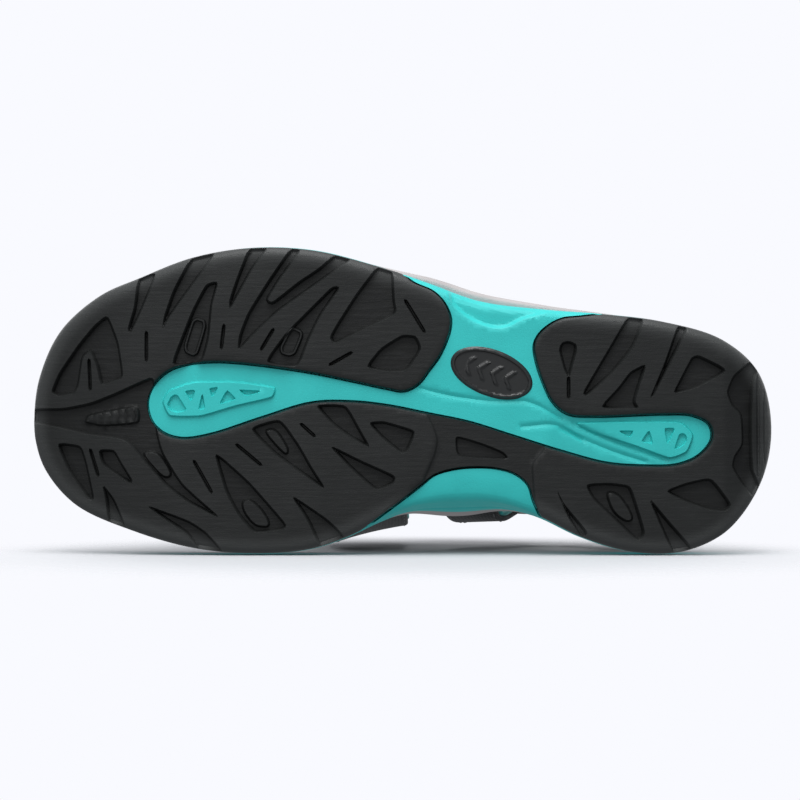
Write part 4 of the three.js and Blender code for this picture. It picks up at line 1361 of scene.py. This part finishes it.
def makeBadge(material):
    low, high = (corner[2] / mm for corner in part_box("oval_badge"))
    turn = math.radians(badge["turn"])
    ahead, away = np.array([math.cos(turn), math.sin(turn)]), np.array([-math.sin(turn), math.cos(turn)])
    centre = scaled([badge["centre"]])[0]

    def oval(grow):
        angles = np.linspace(0, 2 * math.pi, 110, endpoint=False)[:, None]
        return (centre + np.cos(angles) * ahead * (badge["length"] / 2 + grow)
                + np.sin(angles) * away * (badge["width"] / 2 + grow))

    border = oval(0)

    def isKept(at):
        return depthInside(border, at) > 1e-3

    def lower(at):
        depth = np.maximum(depthInside(border, at), 0)
        u, v = (at - centre) @ ahead, (at - centre) @ away
        rimShare = smoothstep(depth, 0.5, 0.9) * (1 - smoothstep(depth, 1.5, 1.9))
        peaks = np.abs((u + np.abs(v) * 0.8 + 60) % 5.2 - 2.6)
        inner = smoothstep(depth, 2.8, 3.3) * smoothstep(3.6 - np.abs(v), 0, 0.4)
        inner = inner * smoothstep(9.5 - np.abs(u), 0, 0.5)
        mark = (1 - smoothstep(peaks, 0.55, 0.95)) * inner
        return low + badge["rim"] + roundedEdge(depth, 0.5) - rimShare * badge["rim"] - mark * badge["mark"]

    def upper(at):
        return np.full(len(at), high)

    rings = [(oval(-distance), True) for distance in (0.2, 0.5, 0.9, 1.5, 1.9, 2.8)]
    return mouldedPlate("Oval_badge", border, rings, lower, upper, isKept, material, spacing=0.42)


def addSole():
    for maker, material, node, slot in (
        (makeOutsole, rubber, "outsole", "rubber"),
        (makeMidsole, foam, "midsole", "teal_foam"),
        (makeFootbed, greyFoam, "footbed", "grey_foam"),
        (makeSockliner, greyLiner, "sockliner", "grey_liner"),
        (makeBadge, badgeRubber, "oval_badge", "rubber"),
    ):
        made = maker(material)
        facedOut(made)
        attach(made, "sandal")
        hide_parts(node)
        print("made", made.name, len(made.data.polygons))


# a closed tube of any round section along a closed loop of points
def loopTube(name, points, section, normals, material, body, node):
    count, size = len(points), len(section)
    vertices, faces = [], []
    for i in range(count):
        run = unit(points[(i + 1) % count] - points[i - 1])
        normal = unit(normals[i] - run * np.dot(normals[i], run))
        across = np.cross(normal, run)
        for u, v in section:
            vertices.append(points[i] + across * u + normal * v)
    for i in range(count):
        for k in range(size):
            a, b = i * size + k, i * size + (k + 1) % size
            c, d = ((i + 1) % count) * size + (k + 1) % size, ((i + 1) % count) * size + k
            faces.append([a, b, c, d])
    made = newPiece(name, np.array(vertices) * mm, faces, material, 60)
    facedOut(made)
    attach(made, body)
    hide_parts(node)
    return made


def roundSection(radius, count=18):
    angles = np.linspace(0, 2 * math.pi, count, endpoint=False)
    return np.column_stack([np.cos(angles), np.sin(angles)]) * radius


def addRings():
    for side, end in ((1, "outer"), (-1, "inner")):
        angles = np.linspace(0, 2 * math.pi, 80, endpoint=False)
        spots = [ringCentre(side) + turnedReach(math.degrees(a)) * ringSizes["radius"] for a in angles]
        sides = [np.array([0, 1.0, 0])] * len(spots)
        loopTube(f"Ankle_ring_{end}", spots, roundSection(ringSizes["wire"] / 2), sides, plastic, "sandal",
                 f"ankle_ring_{end}")
    point, run, normal = forefootTrack.at(forefootTrack.lengthAt(ringSizes["share"]))
    across = np.cross(normal, run)
    halfRun, halfWide = ringSizes["pitch"] / 2, straps["forefoot"] / 2 + 2.5
    corner = ringSizes["corner"]
    path = []
    for sign, other, turn in ((1, 1, 0), (-1, 1, 90), (-1, -1, 180), (1, -1, 270)):
        for angle in np.linspace(turn, turn + 90, 7):
            a = math.radians(angle)
            path.append([sign * (halfRun - corner) + corner * math.cos(a),
                         other * (halfWide - corner) + corner * math.sin(a)])
    path = evenly(np.array(path + path[:1]), 1.2)
    spots = [point + run * u + across * v for u, v in path]
    section = roundSection(ringSizes["bar"] / 2)
    loopTube("Forefoot_ring", spots, section, [normal] * len(spots), plastic, "sandal", "forefoot_ring")


footDepth = straps["slotDepth"] + sole["rim"]
forefootTrack = Track(forefootPath, -footDepth / forefootRun, 1 + footDepth / forefootRun, 260)
riserTracks = [Track(path, -footDepth / riserRun, 1, 130) for path in riserPaths]
ankleTrack = Track(archPath(straps["ankleAngle"], along(straps["ankleDepth"])), 0, 1, 180)
collarTrack = Track(archPath(straps["collarAngle"], along(straps["collarDepth"])), 0, 1, 180)
tabLift = straps["thickness"] * 1.5 + straps["patch"] * 2 + straps["gap"] * 3 - straps["thickness"] / 2
hookLift = straps["thickness"] / 2 + straps["patch"] * 1.5 + straps["gap"] * 2
loopLift = (straps["thickness"] + straps["patch"]) / 2 + straps["gap"]


def narrowing(track, wide):
    def width(length):
        share = track.shareAt(length)
        return wide + (straps["loop"] - wide) * smoothstep(share, 0.35, 0.85)

    return width


def waisted(track, wide):
    def width(length):
        share = track.shareAt(length)
        swell = smoothstep(min(share, 1 - share), 0.06, 0.24)
        return straps["loop"] + (wide - straps["loop"]) * swell

    return width


# rows along both edges of a strap and across it near a ring
def stitchStrap(track, start, finish, width, footAtStart=False, footAtEnd=False, loopAtEnd=False,
                body="sandal"):
    begin = start + (footDepth + 1.5 if footAtStart else 1)
    end = finish - (footDepth + 1.5 if footAtEnd else 13 if loopAtEnd else 1)
    samples = layerSamples(track, begin, end, width, 0, straps["thickness"])
    for row in edgeRows(samples):
        addStitchRow(body, row)
    if loopAtEnd:
        addStitchRow(body, crossRow(samples, -1))
        addStitchRow(body, crossRow(samples, -2))


# the padding or lining under a strap, a little wider than it, so that its colour edges the strap
def addLining(name, track, start, finish, width, thickness, node, body="sandal"):
    margin = 1.4
    lift = -(straps["thickness"] + thickness) / 2 - 0.12

    def wide(length):
        ends = min(length - start, finish - length)
        return width(length) + margin - 2.2 * (1 - smoothstep(ends, 0, 3))

    def thick(length):
        ends = min(length - start, finish - length)
        return thickness * (0.45 + 0.55 * smoothstep(ends, 0, 5))

    samples = layerSamples(track, start, finish, wide, lift, thick)
    made = ribbonMesh(name, samples, tealFabric, edge=0.3, body=body, nodes=[node])


def addTab(name, track, start, finish, wide, reach, bodies, node, axisShift):
    def lift(length):
        return reach + (tabLift - reach) * smoothstep(length - start, 0, 9)

    def width(length):
        startShare = smoothstep(length - start, 1, 9)
        ends = smoothstep(finish - length, -2.2, 5)
        size = wide[0] + (wide[1] - wide[0]) * startShare
        return size * (0.72 + 0.28 * math.sqrt(ends))

    ahead = Window(track, start, track.total)
    root = turnedEnd(ahead, True, reach, wide[0], straps["thickness"], 30, 90)[:-1]
    samples = root + layerSamples(track, start, finish, width, lift, straps["thickness"])
    made = ribbonMesh(name, samples, webbing, body=None, nodes=[node])
    point, run, normal = track.at(start)
    begin = (point + run * 0.5 + normal * reach) * mm
    end = (point + run * axisShift + normal * reach) * mm
    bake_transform(made)
    flat = layerSamples(track, start + axisShift + 3, finish - 4, width, tabLift, straps["thickness"])
    for row in edgeRows(flat):
        addStitchRow(bodies[1], row)
    addStitchRow(bodies[1], crossRow(flat, -1))
    addStitchRow(bodies[1], crossRow(flat, 0))


# the samples under each hook patch, by body
hookFields = {}


def patch(name, track, start, finish, wide, lift, material, body, node, slot):
    samples = layerSamples(track, start, finish, wide, lift, straps["patch"])
    if slot == "hook_patch":
        hookFields[body] = samples
    return ribbonMesh(name, samples, material, edge=0.6, body=body, nodes=[node])


def addForefoot():
    track = forefootTrack
    ringAt = track.lengthAt(ringSizes["share"])
    outerBar, innerBar = ringAt - ringSizes["pitch"] / 2, ringAt + ringSizes["pitch"] / 2
    wide = straps["forefoot"]
    samples = strapSamples(track, ("foot", "under"), wide, barReach, 0, outerBar)
    ribbonMesh("Forefoot_strap_outer", samples, webbing, nodes=["forefoot_strap_outer"])
    stitchStrap(track, 0, outerBar, wide, footAtStart=True, loopAtEnd=True)
    samples = strapSamples(track, ("fold", "foot"), wide, barReach, innerBar, track.total)
    ribbonMesh("Forefoot_strap_inner", samples, webbing, nodes=["forefoot_strap_inner"])
    stitchStrap(track, track.segment(13), track.total, wide, footAtEnd=True)
    foot = track.lengthAt(0) + 2.5
    addLining("Forefoot_lining_outer", track, foot, outerBar - 6, lambda _: wide, straps["lining"],
              "forefoot_lining_outer")
    end = track.lengthAt(1) - 2.5
    addLining("Forefoot_lining_inner", track, innerBar + 6, end, lambda _: wide, straps["lining"],
              "forefoot_lining_inner")
    patch("Forefoot_loop_patch", track, track.segment(8), track.segment(13), wide - 2, loopLift,
          loopPile, "sandal", "forefoot_loop_patch", "loop_patch")
    patch("Forefoot_hook_patch", track, track.segment(8), track.segment(11), wide - 2, hookLift,
          hookPile, "forefoot_tab", "forefoot_hook_patch", "hook_patch")
    addTab("Forefoot_tab", track, innerBar, track.segment(12), (wide, wide), barReach,
           ("sandal", "forefoot_tab"), "forefoot_tab", 9)


def addRisers():
    for (kind, side, _, _, wide, _), track in zip(risers, riserTracks):
        end = "outer" if side > 0 else "inner"
        width = narrowing(track, wide)
        samples = strapSamples(track, ("foot", "under"), width, wireReach)
        name = f"{kind}_strap_{end}"
        ribbonMesh(name.capitalize(), samples, webbing, nodes=[name])
        stitchStrap(track, 0, track.total, width, footAtStart=True, loopAtEnd=True)
        name = f"{kind}_lining_{end}"
        start = track.lengthAt(0) + 2.5
        addLining(name.capitalize(), track, start, track.total - 6.5, width, straps["lining"], name)


def addAnkle():
    track = ankleTrack
    width = waisted(track, straps["ankle"])
    samples = strapSamples(track, ("fold", "under"), width, wireReach)
    ribbonMesh("Ankle_strap", samples, webbing, nodes=["ankle_strap"])
    stitchStrap(track, track.segment(12) + 1, track.total, width, loopAtEnd=True)
    addLining("Ankle_pad", track, track.lengthAt(0.2), track.lengthAt(0.8), width, straps["pad"], "ankle_pad")
    patch("Ankle_loop_patch", track, track.segment(5), track.segment(12), straps["tab"] - 1,
          loopLift, loopPile, "sandal", "ankle_loop_patch", "loop_patch")
    patch("Ankle_hook_patch", track, track.segment(5), track.segment(9), straps["tab"] - 1,
          hookLift, hookPile, "ankle_tab", "ankle_hook_patch", "hook_patch")
    addTab("Ankle_tab", track, 0, track.segment(10), (straps["loop"], straps["tab"]), wireReach,
           ("sandal", "ankle_tab"), "ankle_tab", 9)


def addHeelCollar():
    track = collarTrack
    width = waisted(track, straps["collar"])
    samples = strapSamples(track, ("fold", "under"), width, wireReach)
    ribbonMesh("Heel_collar", samples, webbing, body="heel_collar", nodes=["heel_collar"])
    stitchStrap(track, track.segment(8) + 1, track.total, width, loopAtEnd=True, body="heel_collar")
    addLining("Heel_collar_pad", track, track.lengthAt(0.2), track.lengthAt(0.8), width, straps["pad"],
              "heel_collar_pad", body="heel_collar")
    patch("Heel_loop_patch", track, track.segment(4), track.segment(8), straps["tab"] - 1,
          loopLift, loopPile, "heel_collar", "heel_loop_patch", "loop_patch")
    patch("Heel_hook_patch", track, track.segment(4), track.segment(6), straps["tab"] - 1,
          hookLift, hookPile, "heel_tab", "heel_hook_patch", "hook_patch")
    addTab("Heel_tab", track, 0, track.segment(7), (straps["loop"], straps["tab"]), wireReach,
           ("heel_collar", "heel_tab"), "heel_tab", 9)
    addPullLoop()


# stitches and hooks, in millimetres
repeats = {
    "stitchLength": 2.0,
    "stitchGap": 1.0,
    "threadRadius": 0.22,
    "hookSpacing": 0.95,
    "hookHeight": 0.2625,
    "hookFoot": 0.24,  # radius
    "hookTip": 0.16,
    "margin": 1.7,  # between a strap's edge and its stitches
}


# a Geometry Nodes tree with named inputs
class Plan:
    def __init__(self, name, inputs):
        self.tree = bpy.data.node_groups.new(name, "GeometryNodeTree")
        face = self.tree.interface
        face.new_socket("Geometry", in_out="INPUT", socket_type="NodeSocketGeometry")
        self.names = {}
        for label, kind in inputs:
            made = face.new_socket(label, in_out="INPUT", socket_type=kind)
            self.names[label] = made.identifier
        face.new_socket("Geometry", in_out="OUTPUT", socket_type="NodeSocketGeometry")
        self.start = self.tree.nodes.new("NodeGroupInput")
        self.end = self.tree.nodes.new("NodeGroupOutput")

    def node(self, kind, settings=None, inputs=None):
        made = self.tree.nodes.new(kind)
        for key, value in (settings or {}).items():
            setattr(made, key, value)
        for key, value in (inputs or {}).items():
            if isinstance(value, bpy.types.NodeSocket):
                self.tree.links.new(value, made.inputs[key])
            else:
                made.inputs[key].default_value = value
        return made

    def given(self, label):
        return self.start.outputs[label]

    # applies the tree to a mesh object and returns a plain mesh made from it
    def bake(self, source, values, name):
        modifier = source.modifiers.new("plan", "NODES")
        modifier.node_group = self.tree
        for label, value in values.items():
            modifier[self.names[label]] = value
        seen = source.evaluated_get(bpy.context.evaluated_depsgraph_get())
        mesh = bpy.data.meshes.new_from_object(seen)
        mesh.name = name
        bpy.data.objects.remove(source)
        made = bpy.data.objects.new(name, mesh)
        collection.objects.link(made)
        return made


# threads laid along the edges of the source mesh, standing out along its "face" attribute
def stitchPlan():
    plan = Plan("stitches", [("Spacing", "NodeSocketFloat"), ("Length", "NodeSocketFloat"),
                             ("Radius", "NodeSocketFloat"), ("Material", "NodeSocketMaterial")])
    lines = plan.node("GeometryNodeMeshToCurve", inputs={"Mesh": plan.given("Geometry")})
    spaced = plan.node("GeometryNodeResampleCurve", {"mode": "LENGTH"},
                       {"Curve": lines.outputs["Curve"], "Length": plan.given("Spacing")})
    run = plan.node("GeometryNodeInputTangent")
    face = plan.node("GeometryNodeInputNamedAttribute", {"data_type": "FLOAT_VECTOR"}, {"Name": "face"})
    alongRun = plan.node("FunctionNodeAlignRotationToVector", {"axis": "Z"}, {"Vector": run.outputs[0]})
    turned = plan.node("FunctionNodeAlignRotationToVector", {"axis": "X", "pivot_axis": "Z"},
                       {"Rotation": alongRun.outputs[0], "Vector": face.outputs[0]})
    bead = plan.node("GeometryNodeMeshUVSphere",
                     inputs={"Segments": 6, "Rings": 5, "Radius": plan.given("Radius")})
    ratio = plan.node("ShaderNodeMath", {"operation": "DIVIDE"},
                      {0: plan.given("Length"), 1: plan.given("Radius")})
    half = plan.node("ShaderNodeMath", {"operation": "MULTIPLY"}, {0: ratio.outputs[0], 1: 0.5})
    stretch = plan.node("ShaderNodeCombineXYZ", inputs={"X": 1.0, "Y": 1.25, "Z": half.outputs[0]})
    longBead = plan.node("GeometryNodeTransform",
                         inputs={"Geometry": bead.outputs[0], "Scale": stretch.outputs[0]})
    placed = plan.node("GeometryNodeInstanceOnPoints",
                       inputs={"Points": spaced.outputs["Curve"], "Instance": longBead.outputs[0],
                               "Rotation": turned.outputs[0]})
    return finishPlan(plan, placed.outputs[0])


# makes the instances real, gives them the material and ends the tree
def finishPlan(plan, geometry):
    solid = plan.node("GeometryNodeRealizeInstances", inputs={"Geometry": geometry})
    painted = plan.node("GeometryNodeSetMaterial",
                        inputs={"Geometry": solid.outputs[0], "Material": plan.given("Material")})
    plan.tree.links.new(painted.outputs[0], plan.end.inputs[0])
    return plan


# small hooks spread over the source face
def hookPlan():
    plan = Plan("hooks", [("Spacing", "NodeSocketFloat"), ("Height", "NodeSocketFloat"),
                          ("Seed", "NodeSocketInt"), ("Material", "NodeSocketMaterial")])
    spread = plan.node("GeometryNodeDistributePointsOnFaces", {"distribute_method": "POISSON"},
                       {"Mesh": plan.given("Geometry"), "Distance Min": plan.given("Spacing"),
                        "Density Max": 900000.0, "Seed": plan.given("Seed")})
    sizes = {"Vertices": 5, "Radius Top": repeats["hookTip"] * mm, "Radius Bottom": repeats["hookFoot"] * mm,
             "Depth": plan.given("Height")}
    stem = plan.node("GeometryNodeMeshCone", inputs=sizes)
    placed = plan.node("GeometryNodeInstanceOnPoints",
                       inputs={"Points": spread.outputs["Points"], "Instance": stem.outputs[0],
                               "Rotation": spread.outputs["Rotation"]})
    return finishPlan(plan, placed.outputs[0])


# rows of stitches: each is a list of (point, outward) along a strap
stitchRows = {}


def addStitchRow(body, row):
    stitchRows.setdefault(body, []).append(row)


# rows near both edges of a strap's outer face
def edgeRows(samples):
    rows = [[], []]
    for point, normal, across, width, thickness in samples:
        for row, sign in zip(rows, (-1, 1)):
            spot = point + across * sign * (width / 2 - repeats["margin"]) + normal * (thickness / 2 + 0.03)
            row.append((spot, normal))
    return rows


# a row across the strap at one of its samples
def crossRow(samples, index):
    point, normal, across, width, thickness = samples[index]
    shares = np.linspace(-1, 1, 12)
    level = normal * (thickness / 2 + 0.03)
    return [(point + across * share * (width / 2 - repeats["margin"]) + level, normal) for share in shares]


def layStitches():
    plan = stitchPlan()
    for body, rows in stitchRows.items():
        vertices, joins, faces = [], [], []
        for row in rows:
            first = len(vertices)
            vertices += [tuple(spot * mm) for spot, _ in row]
            faces += [tuple(face) for _, face in row]
            joins += [(first + i, first + i + 1) for i in range(len(row) - 1)]
        mesh = bpy.data.meshes.new("rows")
        mesh.from_pydata(vertices, joins, [])
        layer = mesh.attributes.new("face", "FLOAT_VECTOR", "POINT")
        layer.data.foreach_set("vector", np.array(faces, np.float32).ravel())
        source = bpy.data.objects.new("rows", mesh)
        collection.objects.link(source)
        values = {"Spacing": (repeats["stitchLength"] + repeats["stitchGap"]) * mm,
                  "Length": repeats["stitchLength"] * mm, "Radius": repeats["threadRadius"] * mm,
                  "Material": thread}
        made = plan.bake(source, values, f"{body.capitalize()}_stitches")
        print("stitches on", body, len(made.data.polygons))
        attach(made, body)


def layHooks():
    plan = hookPlan()
    for body, samples in hookFields.items():
        vertices, faces = [], []
        for row, (point, normal, across, width, thickness) in enumerate(samples):
            for share in (-1, 1):
                spot = point - normal * (thickness / 2 - 0.02) + across * share * (width / 2 - 1)
                vertices.append(tuple(spot * mm))
            if row:
                a = 2 * (row - 1)
                faces.append((a, a + 1, a + 3, a + 2))
        mesh = bpy.data.meshes.new("field")
        mesh.from_pydata(vertices, [], faces)
        normal = mesh.polygons[0].normal if mesh.polygons else Vector()
        if np.dot(np.array(normal), samples[0][1]) > 0:
            mesh.flip_normals()
        source = bpy.data.objects.new("field", mesh)
        collection.objects.link(source)
        values = {"Spacing": repeats["hookSpacing"] * mm, "Height": repeats["hookHeight"] * mm,
                  "Seed": 4, "Material": hookPile}
        made = plan.bake(source, values, f"{body.capitalize()}_hooks")
        print("hooks on", body, len(made.data.polygons))
        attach(made, body)


pullLoop = {"depth": 10, "halfHeight": 9, "width": 12}


def addPullLoop():
    point, run, normal = collarTrack.at(collarTrack.lengthAt(0.5))
    across = np.cross(normal, run)
    base = point + normal * (straps["thickness"] / 2 + straps["gap"])
    samples = []
    for angle in np.linspace(-90, 90, 40):
        a = math.radians(angle)
        spot = base + normal * pullLoop["depth"] * math.cos(a) + across * pullLoop["halfHeight"] * math.sin(a)
        face = normal * math.cos(a) + across * math.sin(a)
        samples.append((spot, face, run, pullLoop["width"], straps["thickness"]))
    ribbonMesh("Heel_pull_loop", samples, tape, body="heel_collar", nodes=["heel_pull_loop"])


stage = {
    "backdrop": (0.948, 0.956, 1.0),
    "paper": (0.62, 0.63, 0.655),
    # the colour of the shadow painted on the floor
    "shadow": (0.1, 0.1, 0.105),
    "fill": 0.36,
    "floor": -0.0565,
    "floorHalf": 0.6,
    "cameraAt": (0.0004, 0.0002, -0.971),
    "lens": 120,
    "lights": (  # name, place, aim, size, power
        ("Soft_above", (0, 0.95, -0.06), (0, 0, 0.01), 0.35, 3.8),
        ("Soft_top", (0.05, 0.85, -0.5), (0, 0, 0), 0.6, 6.5),
        ("Soft_front", (0.35, 0.55, -1.0), (0, 0, 0), 0.9, 3.2),
        ("Soft_side", (0.5, 0.35, 0.75), (0, 0, 0.05), 0.8, 3.2),
        ("Soft_back", (-0.6, 0.2, 0.6), (0, 0, 0.05), 0.8, 2.5),
    ),
}


def addStage():
    # the sandal stands on its inner edge: this floor shows only near it and from above
    paper = Kit("paper")
    place = paper.place()
    grain = paper.noise(place, 300, 2)
    shade = paper.mix(grain * 0.04, stage["paper"], (0.7, 0.71, 0.73))
    # a painted shadow: the paper darkens in an oval under and behind the sandal
    paintedShadowX = ((paper.split(place, 0) + 0.01) / 0.14) ** 2.0
    paintedShadowZ = ((paper.split(place, 2) - 0.09) / 0.115) ** 2.0
    paintedShadow = 1 - (paintedShadowX + paintedShadowZ).root().smooth(0.15, 1.0)
    shade = paper.mix(paintedShadow * 0.75, shade, stage["shadow"])
    paper.finish(colour=shade, rough=0.95, shine=0.0)
    reach = ((paper.split(place, 0) * 5.2) ** 2.0 + (paper.split(place, 2) * 6.5) ** 2.0).root()
    behind = paper.node("ShaderNodeNewGeometry", output="Backfacing")
    paper.link((1 - reach.smooth(0.45, 1.0)) * (1 - behind), paper.shader.inputs["Alpha"])
    half = stage["floorHalf"]
    corners = [[x * half, stage["floor"], z * half] for x, z in ((-1, -1), (1, -1), (1, 1), (-1, 1))]
    mesh = bpy.data.meshes.new("Floor")
    mesh.from_pydata(corners, [], [[3, 2, 1, 0]])
    mesh.materials.append(paper.material)
    floor = bpy.data.objects.new("Floor", mesh)
    collection.objects.link(floor)
    floor.visible_glossy = False
    floor.visible_diffuse = False

    world = bpy.context.scene.world or bpy.data.worlds.new("studio")
    bpy.context.scene.world = world
    world.use_nodes = True
    tree = world.node_tree
    back = tree.nodes["Background"]
    rays = tree.nodes.new("ShaderNodeLightPath")
    plain = tree.nodes.new("ShaderNodeBackground")
    plain.inputs["Color"].default_value = (*stage["backdrop"], 1)
    plain.inputs["Strength"].default_value = 1.0
    back.inputs["Color"].default_value = (0.93, 0.96, 1, 1)
    back.inputs["Strength"].default_value = stage["fill"]
    mixed = tree.nodes.new("ShaderNodeMixShader")
    tree.links.new(rays.outputs["Is Camera Ray"], mixed.inputs["Fac"])
    tree.links.new(back.outputs[0], mixed.inputs[1])
    tree.links.new(plain.outputs[0], mixed.inputs[2])
    tree.links.new(mixed.outputs[0], tree.nodes["World Output"].inputs["Surface"])

    for name, place, aim, size, power in stage["lights"]:
        lamp = bpy.data.lights.new(name, "AREA")
        lamp.size = size
        lamp.energy = power
        made = bpy.data.objects.new(name, lamp)
        made.location = place
        made.rotation_euler = (Vector(aim) - Vector(place)).to_track_quat("-Z", "Y").to_euler()
        collection.objects.link(made)

    camera = bpy.data.cameras.new("Camera")
    camera.lens = stage["lens"]
    camera.sensor_width = 36
    made = bpy.data.objects.new("Camera", camera)
    made.location = stage["cameraAt"]
    made.rotation_euler = (0, math.pi, 0)
    collection.objects.link(made)
    bpy.context.scene.camera = made
    bpy.context.scene.view_settings.view_transform = "Standard"


addSole()
addForefoot()
print("made the forefoot strap")
addRisers()
addAnkle()
addHeelCollar()
print("made the ankle straps")
layStitches()
layHooks()
addRings()
addStage()
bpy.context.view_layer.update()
shank = bpy.data.objects["shank"].data  # sealed in the sole, so its frame solid stays
shank.materials.clear()
shank.materials.append(nylon)
